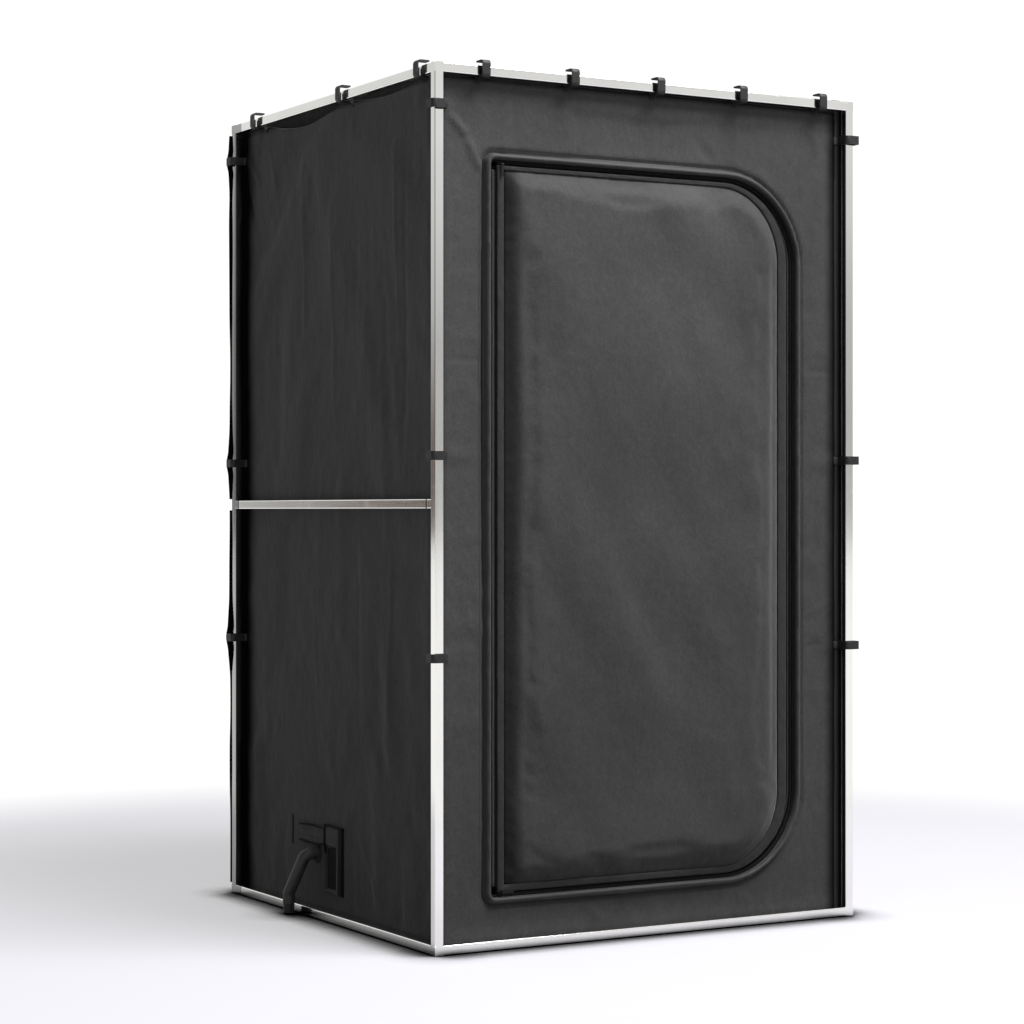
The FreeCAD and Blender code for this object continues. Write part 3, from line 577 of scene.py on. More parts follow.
WALL_CREASES = {
    "front": [
        ((-0.49, 1.205), (-0.40, 1.203), 3 * MM, -1.6 * MM), ((0.41, 1.206), (0.49, 1.203), 3 * MM, -1.8 * MM),
        ((-0.49, 0.600), (-0.40, 0.602), 3 * MM, -1.5 * MM), ((0.41, 0.600), (0.49, 0.603), 3 * MM, -1.8 * MM),
        ((-0.327, 1.76), (-0.329, 1.645), 5 * MM, -1.4 * MM),
        ((-0.482, 1.705), (-0.435, 1.655), 6 * MM, 7.0 * MM), ((-0.44, 1.662), (-0.405, 1.585), 7 * MM, 5.5 * MM),
        ((0.11, 1.705), (0.165, 1.645), 8 * MM, -1.6 * MM), ((0.14, 1.70), (0.19, 1.65), 7 * MM, 1.0 * MM),
        ((-0.16, 0.075), (-0.10, 0.03), 6 * MM, 1.8 * MM), ((-0.05, 0.08), (-0.01, 0.035), 6 * MM, -1.4 * MM),
        ((0.22, 0.08), (0.27, 0.035), 7 * MM, 1.6 * MM), ((0.41, 0.66), (0.48, 0.70), 6 * MM, 1.4 * MM),
        ((-0.48, 0.64), (-0.42, 0.69), 6 * MM, 1.2 * MM), ((0.42, 1.74), (0.47, 1.66), 8 * MM, 1.8 * MM),
    ],
    "left": [
        ((0.17, 1.70), (0.165, 1.25), 7 * MM, 1.5 * MM), ((0.03, 1.62), (0.01, 1.02), 8 * MM, 1.3 * MM),
        ((-0.28, 1.72), (-0.285, 1.20), 6 * MM, 1.8 * MM), ((-0.33, 1.66), (-0.31, 0.95), 7 * MM, -1.6 * MM),
        ((0.478, 1.735), (0.40, 1.65), 8 * MM, 3.5 * MM), ((0.49, 1.69), (0.43, 1.56), 9 * MM, -3.0 * MM),
        ((0.36, 1.76), (0.30, 1.60), 8 * MM, 2.0 * MM), ((-0.26, 0.86), (-0.245, 0.40), 7 * MM, 1.5 * MM),
        ((-0.10, 0.88), (-0.12, 0.45), 8 * MM, -1.2 * MM), ((0.12, 0.80), (0.09, 0.42), 9 * MM, 1.2 * MM),
        ((0.20, 0.24), (0.26, 0.08), 8 * MM, 1.6 * MM), ((-0.10, 0.22), (-0.20, 0.06), 9 * MM, 1.6 * MM),
    ],
    "right": [
        ((-0.30, 1.70), (-0.29, 1.10), 8 * MM, 1.5 * MM), ((0.10, 1.66), (0.12, 1.05), 7 * MM, -1.4 * MM),
        ((0.33, 1.60), (0.31, 0.95), 8 * MM, 1.6 * MM), ((-0.15, 0.85), (-0.13, 0.35), 8 * MM, 1.5 * MM),
        ((0.22, 0.80), (0.25, 0.30), 7 * MM, -1.4 * MM), ((-0.46, 1.205), (0.46, 1.203), 3 * MM, -1.2 * MM),
        ((-0.46, 0.60), (0.46, 0.602), 3 * MM, -1.2 * MM), ((-0.47, 1.74), (-0.40, 1.62), 8 * MM, 2.5 * MM),
    ],
    "back": [
        ((-0.48, 1.204), (0.48, 1.206), 3 * MM, -1.4 * MM), ((-0.48, 0.601), (0.48, 0.599), 3 * MM, -1.4 * MM),
        ((-0.20, 1.72), (-0.202, 0.06), 3 * MM, -1.1 * MM), ((0.21, 1.72), (0.208, 0.06), 3 * MM, -1.1 * MM),
        ((0.48, 1.72), (0.38, 1.58), 9 * MM, 3.0 * MM), ((-0.48, 1.70), (-0.40, 1.60), 8 * MM, 2.5 * MM),
        ((-0.05, 1.45), (-0.02, 0.90), 9 * MM, 1.6 * MM), ((0.33, 1.10), (0.30, 0.50), 8 * MM, 1.4 * MM),
    ],
}
SCALLOPS = {"front": (9, 2.0, 1.5, 2.5), "back": (6, 8, 5, 9), "left": (13, 24), "right": (15, 17)}
DRAPE_SHARE = {"front": 0.35, "back": 0.6, "left": 0.4, "right": 0.7}     # how much of the drape is kept
WALL_SEEDS = {"front": 11, "back": 23, "left": 37, "right": 51}


def hooks_of(side):
    return top_hooks_front if side in ("front", "back") else top_hooks_side


def half_width(side):
    return tent_high.x if side in ("front", "back") else tent_high.y


def scallop(side, u):
    """How far a wall's top edge hangs below its level at the hooks."""
    sag = 1.5 * MM + 0.6 * MM * soft_noise(u * 14, u * 0 + 3.3, WALL_SEEDS[side])
    hooks = hooks_of(side)
    for start, end, depth in zip(hooks, hooks[1:], SCALLOPS[side]):
        share = np.clip((u - start) / (end - start), 0, 1)
        skew = share ** 1.15
        sag = sag + depth * MM * np.sin(math.pi * skew) ** 1.2
    outside = np.maximum(np.maximum(hooks[0] - u, u - hooks[-1]), 0)
    return sag + 4 * MM * smooth_step(outside / 0.05)


def draped(name, points, keep, held, pressure, growth, bending, frames=22, stiffness=6.0):
    """Runs a sheet of cloth (a grid of points) as a simulation and gives back where its points end up.
    held marks the points that stay in place; growth is how much bigger the cloth is cut than its place."""
    rows, columns = points.shape[:2]
    index = np.arange(rows * columns).reshape(rows, columns)
    quads = np.stack([index[:-1, :-1], index[1:, :-1], index[1:, 1:], index[:-1, 1:]], -1)[keep]
    used = np.unique(quads)
    mesh = make_mesh(name, points.reshape(-1, 3), quads, outward=False)
    sheet = bpy.data.objects.new(name, mesh)
    bpy.context.scene.collection.objects.link(sheet)
    pins = sheet.vertex_groups.new(name="pins")
    pins.add([int(i) for i in np.flatnonzero(held.reshape(-1)[used])], 1.0, "REPLACE")
    cloth = sheet.modifiers.new("cloth", "CLOTH")
    settings = cloth.settings
    settings.quality = 5
    settings.mass = 0.25
    settings.tension_stiffness = stiffness
    settings.compression_stiffness = stiffness
    settings.shear_stiffness = stiffness * 0.6
    settings.bending_stiffness = bending
    settings.air_damping = 2.0
    settings.vertex_group_mass = "pins"
    settings.shrink_min = -growth
    settings.use_pressure = pressure > 0
    settings.uniform_pressure_force = pressure
    settings.effector_weights.gravity = 0.0
    cloth.collision_settings.use_collision = False
    scene = bpy.context.scene
    for frame_number in range(1, frames + 1):
        scene.frame_set(frame_number)
    result = sheet.evaluated_get(bpy.context.evaluated_depsgraph_get()).to_mesh()
    ends = np.empty(len(used) * 3, np.float32)
    result.vertices.foreach_get("co", ends)
    moved = points.reshape(-1, 3).copy()
    moved[used] = ends.reshape(-1, 3)
    bpy.data.objects.remove(sheet)
    scene.frame_set(1)
    return moved.reshape(points.shape)


def capped(before, after, reach):
    """after, with no point farther than reach from where it started."""
    shift = after - before
    length = np.linalg.norm(shift, axis=-1, keepdims=True)
    return before + shift * np.minimum(1, reach / np.maximum(length, 1e-9))


def spline(share):
    """Weights of the four neighbours in a smooth curve through a row of values."""
    rest = 1 - share
    return (rest ** 3 / 6, (3 * share ** 3 - 6 * share ** 2 + 4) / 6, (3 * rest ** 3 - 6 * rest ** 2 + 4) / 6,
            share ** 3 / 6)


def drape_wall(side):
    """Simulates a wall as a sheet of cloth, cut a little large and held at its seams and hooks. Gives the
    sheet's rows and how far each point ends up out of the wall's plane."""
    half = half_width(side)
    us = rows_between(-half, half, DRAPE)
    zs = rows_between(tent_low.z, tent_high.z, DRAPE)
    u, z = np.meshgrid(us, zs, indexing="ij")
    start = soft_noise(u * 9, z * 4, WALL_SEEDS[side] + 8) * 1.2 * MM
    sheet = np.stack([u, -start, z], -1)
    held = (np.abs(u) > half - DRAPE / 2) | (z < tent_low.z + DRAPE / 2)
    for hook in hooks_of(side):
        held |= (z > tent_high.z - DRAPE / 2) & (np.abs(u - hook) < DRAPE)
    keep = np.ones((len(us) - 1, len(zs) - 1), bool)
    if side == "front":
        middle_u, middle_z = (u[:-1, :-1] + u[1:, 1:]) / 2, (z[:-1, :-1] + z[1:, 1:]) / 2
        keep = door_distance(middle_u, middle_z) > -DRAPE
        held |= door_distance(u, z) < 0
    after = draped("wall_sheet", sheet, keep, held, pressure=0.15, growth=0.008, bending=0.12)
    return us, zs, np.clip(sheet[..., 1] - after[..., 1], -5 * MM, 5 * MM)


def drape(side, u, z):
    """How far the simulated cloth of a wall lies out of its plane, smoothly between the sheet's points."""
    us, zs, offset = drapes[side]
    u, z = np.broadcast_arrays(u, z)
    a = np.clip((u - us[0]) / (us[1] - us[0]), 0, len(us) - 1.001)
    b = np.clip((z - zs[0]) / (zs[1] - zs[0]), 0, len(zs) - 1.001)
    row, column = a.astype(int), b.astype(int)
    total = np.zeros(u.shape)
    for i, weight_u in enumerate(spline(a - row)):
        for j, weight_z in enumerate(spline(b - column)):
            near = offset[np.clip(row + i - 1, 0, len(us) - 1), np.clip(column + j - 1, 0, len(zs) - 1)]
            total = total + weight_u * weight_z * near
    return total


def relief(side, u, z):
    """How far the cloth lies outside (positive) or inside its flat plane."""
    seed = WALL_SEEDS[side]
    half = half_width(side)
    edge = np.minimum(half - np.abs(u), 0.1) / 0.1
    inner = smooth_step(edge) * smooth_step((tent_high.z - z) / 0.08) * smooth_step(z / 0.06)
    slow = soft_noise(u * 3.1, z * 1.7, seed) * 3.2 * MM + soft_noise(u * 7.3, z * 4.1, seed + 1) * 1.5 * MM
    folds = soft_noise(u * 26 + 3 * soft_noise(u * 3, z * 1.3, seed + 5), z * 1.9, seed + 2)
    folds = np.sign(folds) * np.abs(folds) ** 1.4 * soft_noise(u * 4, z * 2.3, seed + 3) ** 2 * 3.0 * MM
    crumple = soft_noise(u * 34, z * 27, seed + 4) * soft_noise(u * 5, z * 5, seed + 6) * 1.1 * MM
    strength = 0.45 if side == "front" else 1.0
    height = (slow * 0.8 + folds * strength + crumple) * inner - 1.2 * MM * inner
    height = height + DRAPE_SHARE[side] * drape(side, u, z)
    for line in WALL_CREASES[side]:
        height = height + crease(u, z, *line)
    if side == "front":
        height = height - WELT_DIP * smooth_step((4.5 * MM - door_distance(u, z)) / (6 * MM))
    for hook in hooks_of(side):
        near = np.hypot((u - hook) / 0.03, (z - tent_high.z) / 0.075)
        ripples = np.cos(np.arctan2(u - hook, tent_high.z + 0.02 - z) * 9.0)
        height = height + 1.3 * MM * ripples * np.exp(-near ** 2 * 0.5) * smooth_step(near)
    for hook in post_hooks_z:
        for end in (-half, half):
            near = np.hypot((u - end) / 0.05, (z - hook) / 0.028)
            height = height + 1.8 * MM * np.exp(-near ** 2) * np.cos((z - hook) / 0.012)
    if side == "left":
        beside = np.maximum(port_low_y - u, u - port_high_y)
        beside = np.maximum(np.maximum(beside, pocket_low.z - z), z - flap_high.z)
        height = height * smooth_step(beside / 0.05)
    deepest = -1.0 * MM - 13 * MM * smooth_step((tent_high.z - ROOF_SKIRT - 10 * MM - z) / 0.06)
    return np.clip(height, deepest, 3.4 * MM)


def on_wall(side, u, z, out):
    """Point of a wall at u along it and z up, standing out of its plane. Near the tent's upright
    corners the plane turns inwards, to meet its neighbour on the diagonal."""
    half = half_width(side)
    flat = half - CORNER_ROUND
    beyond = np.maximum(np.abs(u) - flat, 0)
    angle = beyond / CORNER_ROUND
    radius = CORNER_ROUND + out
    along = np.where(beyond > 0, np.sign(u) * (flat + radius * np.sin(angle)), u)
    depth = np.where(beyond > 0, CORNER_ROUND - radius * np.cos(angle), -out)
    across = {"front": tent_low.y + depth, "back": tent_high.y - depth,
              "left": tent_low.x + depth, "right": tent_high.x - depth}[side]
    z = np.broadcast_to(z, along.shape)
    return np.stack([along, across, z] if side in ("front", "back") else [across, along, z], -1)


def door_distance(x, z):
    """Distance outside the doorway's outline, in the wall's plane; negative inside."""
    middle_x, half_x = (door_left + door_right) / 2, (door_right - door_left) / 2
    middle_z, half_z = (door_low + door_high) / 2, (door_high - door_low) / 2
    radius = np.where(x > middle_x, DOOR_ROUND, DOOR_TIGHT)
    dx = np.abs(x - middle_x) - half_x + radius
    dz = np.abs(z - middle_z) - half_z + radius
    return np.minimum(np.maximum(dx, dz), 0) + np.hypot(np.maximum(dx, 0), np.maximum(dz, 0)) - radius


def snapped(u, z, keep, distance, level):
    """Moves the corners of the rim of the kept cells on to the line where distance equals level."""
    touch_in = np.zeros(u.shape, bool)
    touch_out = np.zeros(u.shape, bool)
    for rows in (slice(0, -1), slice(1, None)):
        for columns in (slice(0, -1), slice(1, None)):
            touch_in[rows, columns] |= keep
            touch_out[rows, columns] |= ~keep
    rim = touch_in & touch_out
    step = 0.1 * MM
    for _ in range(3):
        here = distance(u, z)
        grade_u = (distance(u + step, z) - distance(u - step, z)) / (2 * step)
        grade_z = (distance(u, z + step) - distance(u, z - step)) / (2 * step)
        u = np.where(rim, u - (here - level) * grade_u, u)
        z = np.where(rim, z - (here - level) * grade_z, z)
    return u, z


def wall_grid(side, spacing, inset):
    """Grid of u and z over a wall, with its scalloped top edge, and the cells that exist."""
    reach = half_width(side) - CORNER_ROUND + CORNER_ROUND * math.pi / 4 - inset
    us = rows_between(-reach, reach, spacing)
    zs = rows_between(tent_low.z + 2 * MM, tent_high.z - 7 * MM, spacing)
    u, z = np.meshgrid(us, zs, indexing="ij")
    pull = smooth_step((z - (tent_high.z - 0.16)) / 0.16)
    z = z - scallop(side, u) * pull
    middle_u = (u[:-1, :-1] + u[1:, 1:]) / 2
    middle_z = (z[:-1, :-1] + z[1:, 1:]) / 2
    keep = None
    if side == "front":
        keep = door_distance(middle_u, middle_z) > -WELT / 2
        u, z = snapped(u, z, keep, door_distance, -WELT / 2)
    if side == "left":
        def port_distance(y, height):
            return np.hypot(y - port_y, height - port_z)
        hole = (collar_high.z - collar_low.z) / 2 - 1 * MM
        keep = port_distance(middle_u, middle_z) > hole
        u, z = snapped(u, z, keep, port_distance, hole)
    return u, z, keep


def tent_wall(side):
    """One wall as a draped sheet of cloth with a rolled hem along its scalloped top."""
    u, z, keep = wall_grid(side, GRID, 0.0)
    out = relief(side, u, z)
    front = on_wall(side, u, z, out)
    back = on_wall(side, u, z, out - WALL_CLOTH)
    points, faces = shell(front, back, keep)
    axes = "XZ" if side in ("front", "back") else "YZ"
    parts = [(points, faces)]
    hem_u = rows_between(-half_width(side) + 12 * MM, half_width(side) - 12 * MM, 6 * MM)
    hem_z = tent_high.z - 7 * MM - scallop(side, hem_u)
    hem = on_wall(side, hem_u, hem_z, relief(side, hem_u, hem_z) - WALL_CLOTH / 2)
    parts.append(tube_along(hem, 2.3 * MM, 8, across=(0, 0, 1)))
    points, faces = join(parts)
    mesh = make_mesh("tent_wall_" + side, points, faces)
    add_piece("tent_wall_" + side, mesh, wall_cloth[axes], replaces=["wall_" + side])


def wall_lining():
    """Silver lining just behind the walls and under the roof, quilted in lozenges."""
    parts = []
    gap = WALL_CLOTH + 1.2 * MM
    for side in wall_boxes:
        u, z, keep = wall_grid(side, 14 * MM, 9 * MM)
        z = np.minimum(z, tent_high.z - 30 * MM)
        quilt = np.abs(np.sin((u + z) * math.pi / 0.12)) * np.abs(np.sin((u - z) * math.pi / 0.12))
        out = relief(side, u, z) - gap - 3 * MM * quilt ** 0.5
        parts.append(shell(on_wall(side, u, z, out), on_wall(side, u, z, out - 0.8 * MM), keep))
    xs = rows_between(tent_low.x + 8 * MM, tent_high.x - 8 * MM, 12 * MM)
    ys = rows_between(tent_low.y + 8 * MM, tent_high.y - 8 * MM, 12 * MM)
    x, y = np.meshgrid(xs, ys, indexing="ij")
    height = roof_height(x, y) - 6.5 * MM
    quilt = np.abs(np.sin((x + y) * math.pi / 0.12)) * np.abs(np.sin((x - y) * math.pi / 0.12))
    low = height - 2 * MM * quilt
    parts.append(shell(np.stack([x, y, height], -1), np.stack([x, y, low - 0.8 * MM], -1)))
    mesh = make_mesh("silver_lining", *join(parts))
    add_piece("silver_lining", mesh, foil, replaces=["inner_lining"])


def roof_height(x, y):
    """Height of the roof cloth: it sags a little between its seams."""
    edge = np.minimum(tent_high.x - np.abs(x), tent_high.y - np.abs(y))
    sag = 16 * MM * smooth_step(edge / 0.35)
    ripple = soft_noise(x * 5, y * 5, 71) * 2.0 * MM + soft_noise(x * 16, y * 9, 72) * 1.0 * MM
    return tent_high.z + 2 * MM - sag + ripple * smooth_step(edge / 0.08)


def roof():
    """Roof cloth that turns down behind the walls' scalloped hems."""
    turn, skirt = 3.5 * MM, ROOF_SKIRT
    inset = 5.5 * MM

    def run(half):
        flat = rows_between(-(half - inset - turn), half - inset - turn, 11 * MM)
        bend = (half - inset - turn) + turn * np.linspace(0.4, math.pi / 2, 4)
        drop = bend[-1] + np.linspace(skirt / 4, skirt, 4)
        outside = np.concatenate([bend, drop])
        return np.concatenate([-outside[::-1], flat, outside])

    def bent(value, half):
        flat = half - inset - turn
        beyond = np.maximum(np.abs(value) - flat, 0)
        angle = np.minimum(beyond / turn, math.pi / 2)
        along = np.sign(value) * (np.minimum(np.abs(value), flat) + turn * np.sin(angle))
        fall = turn * (1 - np.cos(angle)) + np.maximum(beyond - turn * math.pi / 2, 0)
        return along, fall, angle

    p, q = np.meshgrid(run(tent_high.x), run(tent_high.y), indexing="ij")
    x, fall_x, angle_x = bent(p, tent_high.x)
    y, fall_y, angle_y = bent(q, tent_high.y)
    z = roof_height(x, y) - np.maximum(fall_x, fall_y)
    thick = 2.5 * MM
    inside_x = x - np.sign(p) * thick * np.sin(angle_x)
    inside_y = y - np.sign(q) * thick * np.sin(angle_y)
    inside_z = z - thick * np.cos(np.maximum(angle_x, angle_y))
    fx = (fall_x[:-1, :-1] + fall_x[1:, 1:]) / 2
    fy = (fall_y[:-1, :-1] + fall_y[1:, 1:]) / 2
    keep = ~((fx > turn) & (fy > turn))
    points, faces = shell(np.stack([x, y, z], -1), np.stack([inside_x, inside_y, inside_z], -1), keep)
    mesh = make_mesh("tent_roof", points, faces)
    # the roof is black: its own dark cloth made darker, as painted shade for the band between the rails and the walls'
    # hems
    add_piece("tent_roof", mesh, black_cloth, replaces=["roof"])


def ground_sheet():
    """The tent's floor: a heavy coated sheet with a slightly rumpled surface."""
    low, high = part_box("tent_floor")
    xs = rows_between(low.x + 4 * MM, high.x - 4 * MM, 14 * MM)
    ys = rows_between(low.y + 4 * MM, high.y - 4 * MM, 14 * MM)
    x, y = np.meshgrid(xs, ys, indexing="ij")
    rumple = soft_noise(x * 6, y * 6, 81) * 1.2 * MM + soft_noise(x * 17, y * 15, 82) * 0.8 * MM
    top = high.z + 1.5 * MM + rumple
    mesh = make_mesh("ground_sheet", *shell(np.stack([x, y, top], -1), np.stack([x, y, 0 * x + low.z], -1)))
    add_piece("ground_sheet", mesh, floor_cloth, replaces=["tent_floor"])


def near_hooks(z, reach):
    """1 at the height of a post hook, falling to 0 at a distance from it."""
    share = np.zeros_like(z)
    for hook in post_hooks_z:
        share = np.maximum(share, 1 - smooth_step(np.abs(z - hook) / reach))
    return share


def corner_flange(sx, sy, zs, number):
    """Seam allowance that stands out of an upright corner towards its post."""
    start = CORNER_ROUND * (1 - math.sqrt(0.5))
    share = np.linspace(0, 1, 6)
    z, share = np.meshgrid(zs, share, indexing="ij")
    length = 13.4 * MM - 8.0 * MM * near_hooks(z, 0.012) + 0.15 * MM * soft_noise(z * 21, z * 0 + number, 95)
    wave = 1.6 * MM * share * (1 - share) * soft_noise(z * 17, share + number, 97 + number)
    thick = 0.8 * MM
    sheets = []
    for side in (-1, 1):
        out = length * share - start - 0.5 * MM
        off = wave + side * thick
        sheets.append(np.stack([sx * (tent_high.x + out + off), sy * (tent_high.y + out - off), z], -1))
    return shell(*sheets)


def back_flap(sx):
    """Loose edge of the back panel that comes out behind a back post, in two lengths round the rails."""
    pieces = []
    rail_low, rail_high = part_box("mid_rail_left")
    foot_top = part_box("bottom_rail_left")[1].z
    head_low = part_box("top_rail_left")[0].z
    post_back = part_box("post_lower_back_left")[1].y
    post_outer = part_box("post_lower_back_right")[1].x
    gap = 3 * MM
    for low, high in ((foot_top + gap, rail_low.z - gap), (rail_high.z + gap, head_low - gap)):
        zs = rows_between(low, high, 7 * MM)
        share = np.linspace(0, 1, 16)
        z, share = np.meshgrid(zs, share, indexing="ij")
        pulled = near_hooks(z, 0.10)
        reach = 3.2 * MM + 4.0 * MM * pulled + 1.8 * MM * soft_noise(z * 6.5, z * 0 + sx, 151)
        inner = tent_high.x - 0.5 * MM
        leg = np.minimum(share / 0.4, 1)
        x = inner + np.maximum(share - 0.4, 0) / 0.6 * (post_outer + reach - inner)
        y = tent_high.y + 1 * MM + leg * (post_back + 2.5 * MM + 8.5 * MM * near_hooks(z, 0.03) - tent_high.y)
        y = y + 1.0 * MM * soft_noise(z * 12, share * 2, 153) * share
        front = np.stack([sx * x, y, z], -1)
        back = np.stack([sx * (x + 1.4 * MM * (1 - leg)), y + 1.4 * MM * leg, z], -1)
        pieces.append(shell(front, back))
    return pieces


def seam_piping():
    """Piped seams down the four corners and round the foot of the tent, with a seam allowance standing out
    beside each corner and the back panel's loose edges."""
    parts = []
    diagonal = CORNER_ROUND * (1 - math.sqrt(0.5))
    corners = [(sx, sy) for sx in (-1, 1) for sy in (-1, 1)]
    zs = rows_between(tent_low.z + 3 * MM, tent_high.z - 1 * MM, 8 * MM)
    for number, (sx, sy) in enumerate(corners):
        wobble = soft_noise(zs * 9, zs * 0 + number, 91 + number) * 1.0 * MM
        x = sx * (tent_high.x - diagonal + 0.6 * MM + wobble)
        y = sy * (tent_high.y - diagonal + 0.6 * MM + wobble)
        parts.append(tube_along(np.stack([x, y, zs], -1), PIPING, 8, across=(1, 0, 0)))
        parts.append(corner_flange(sx, sy, zs, number))
    for sx in (-1, 1):
        parts += back_flap(sx)
    foot = tent_low.z + 6 * MM
    inside_x = tent_high.x - CORNER_ROUND
    inside_y = tent_high.y - CORNER_ROUND
    arc = np.linspace(0, math.pi / 2, 7)
    ring = []
    for cx, cy, start in ((inside_x, inside_y, 0), (-inside_x, inside_y, 1), (-inside_x, -inside_y, 2),
                          (inside_x, -inside_y, 3)):
        turn = arc + start * math.pi / 2
        ring += list(zip(cx + CORNER_ROUND * np.cos(turn), cy + CORNER_ROUND * np.sin(turn)))
    ring = np.array(ring + ring[:1])
    length = np.concatenate([[0], np.cumsum(np.linalg.norm(np.diff(ring, axis=0), axis=1))])
    at = rows_between(0, length[-1], 12 * MM)[:-1]
    ring = np.stack([np.interp(at, length, ring[:, 0]), np.interp(at, length, ring[:, 1]), 0 * at + foot], -1)
    parts.append(tube_along(ring, PIPING, 8, closed=True, across=(0, 0, 1)))
    mesh = make_mesh("seam_piping", *join(parts))
    add_piece("seam_piping", mesh, seam_cloth, replaces=["seam_bindings"])


# ------------------------------------------------------------------ doorway and door
def door_loop(inset, spacing=6 * MM, start=None):
    """Points (x, z) of the doorway's D outline, drawn in by inset. All insets give the same number of
    points. With start, the loop leaves out the hinge side and begins and ends at that x."""
    left, right = door_left + inset, door_right - inset
    low, high = door_low + inset, door_high - inset
    tight, wide = max(DOOR_TIGHT - inset, LEAST_ROUND), DOOR_ROUND - inset

    def line(a, b, length):
        count = int(round(length / spacing))
        share = np.arange(count) / count
        return np.stack([a[0] + (b[0] - a[0]) * share, a[1] + (b[1] - a[1]) * share], -1)

    def arc(centre, radius, begin, end, count):
        turn = np.radians(begin + (end - begin) * np.arange(count) / count)
        return np.stack([centre[0] + radius * np.cos(turn), centre[1] + radius * np.sin(turn)], -1)

    width, height = door_right - door_left, door_high - door_low
    top_start = left + tight if start is None else start
    parts = [
        line((top_start, high), (right - wide, high), width - DOOR_ROUND),
        arc((right - wide, high - wide), wide, 90, 0, 48),
        line((right, high - wide), (right, low + wide), height - 2 * DOOR_ROUND),
        arc((right - wide, low + wide), wide, 0, -90, 48),
        line((right - wide, low), (top_start, low), width - DOOR_ROUND),
    ]
    if start is None:
        parts += [
            arc((left + tight, low + tight), tight, -90, -180, 8),
            line((left, low + tight), (left, high - tight), height),
            arc((left + tight, high - tight), tight, 180, 90, 8),
        ]
    else:
        parts.append(np.array([[top_start, low]]))
    return np.concatenate(parts)


EDGE_SETTLE = (1.0 * MM, -7.5 * MM, -5.0 * MM, 3.5 * MM)      # left, right, bottom and top of the door's lip
SEAM_SETTLE = (1.5 * MM, -15.0 * MM, -6.5 * MM, 9.5 * MM)  # and of the seam round its pad


def settled(x, z, inset):
    """Places of door points after the soft door has settled in its doorway: each side of its edge and of
    its seam lies a little off the even inset."""
    share = np.clip((inset - lip_inset + LIP_OVERHANG) / (panel_inset - lip_inset + LIP_OVERHANG), 0, 1)
    left, right, low, high = (edge + (seam - edge) * share for edge, seam in zip(EDGE_SETTLE, SEAM_SETTLE))
    across = (x - door_left - inset) / (door_right - door_left - 2 * inset)
    up = (z - door_low - inset) / (door_high - door_low - 2 * inset)
    return x + left + (right - left) * across, z + low + (high - low) * up


def door_band(profile, start=None, wobble=0.0, seed=1, settle=False):
    """Band along the doorway with a closed profile of (inset, y) points."""
    loops = []
    for inset, y in profile:
        flat = door_loop(inset, start=start)
        if settle:
            flat = np.stack(settled(flat[:, 0], flat[:, 1], inset), -1)
        loops.append(np.stack([flat[:, 0], np.full(len(flat), y), flat[:, 1]], -1))
    points = np.stack(loops, 1)
    if wobble:
        at = np.arange(len(points)) * 0.11
        outer = points[:, :, 1].max() - points[:, :, 1]
        share = outer / max(outer.max(), 1e-9)
        points[:, :, 1] -= wobble * share * soft_noise(at[:, None] * 2.0, share * 2, seed)
        points[:, :, 1] -= 0.4 * wobble * share * soft_noise(at[:, None] * 7.0, share * 3, seed + 1)
    count, around = points.shape[:2]
    index = np.arange(count * around).reshape(count, around)
    if start is None:
        index = np.vstack([index, index[:1]])
    index = np.hstack([index, index[:, :1]])
    faces = np.stack([index[:-1, :-1], index[:-1, 1:], index[1:, 1:], index[1:, :-1]], -1).reshape(-1, 4)
    return points.reshape(-1, 3), faces


def bead(inset, width, front, back, count=12, fullness=2.4):
    """Closed profile of a padded bead: a full rounded front between two insets and a flat back."""
    turn = np.linspace(0, math.pi, count)
    across = inset + width / 2 - width / 2 * np.sign(np.cos(turn)) * np.abs(np.cos(turn)) ** (2 / fullness)
    height = back + (front - back) * np.abs(np.sin(turn)) ** (2 / fullness)
    return list(zip(across, height)) + [(inset + width * share, back) for share in (0.75, 0.5, 0.25)]


WELT_PROFILE = [       # (inset, height over the wall's plane) in mm: the valley, the bead and its inner flank
    (2.0, -6.5), (5.6, -5.0), (6.8, -1.0), (8.2, 3.6), (10.2, 6.8), (12.6, 8.6), (14.8, 8.6), (16.8, 7.2),
    (18.2, 4.8), (18.9, 2.0), (18.9, -5.0), (11.0, -7.5),
]
FOLD_PROFILE = [(17.5, -7.0), (17.8, -3.6), (18.0, -3.2), (21.0, -3.0), (24.0, -3.6), (24.0, -7.0)]


def doorway_welt():
    """Padded welt round the doorway, with a slim fold of black cloth set back inside it, as painted shade in the
    groove.
    """
    profile = [(inset * MM, front_y - out * MM) for inset, out in WELT_PROFILE]
    mesh = make_mesh("doorway_welt_pad", *door_band(profile, wobble=0.9 * MM, seed=5))
    add_piece("doorway_welt_pad", mesh, binding_cloth, replaces=["doorway_welt"])
    fold = [(inset * MM, front_y - out * MM) for inset, out in FOLD_PROFILE]
    mesh = make_mesh("doorway_inner_fold", *door_band(fold, wobble=0.5 * MM, seed=7))
    # the fold is black cloth: painted shade in the groove between the welt and the door
    add_piece("doorway_inner_fold", mesh, black_cloth)
    seam = door_loop(-5 * MM)
    seam = np.stack([seam[:, 0], np.full(len(seam), front_y), seam[:, 1]], -1)
    seam[:, 1] -= relief("front", seam[:, 0], seam[:, 2])
    mesh = make_mesh("doorway_stitches", *stitches(seam, (0, -1, 0)))
    add_piece("doorway_stitches", mesh, thread)


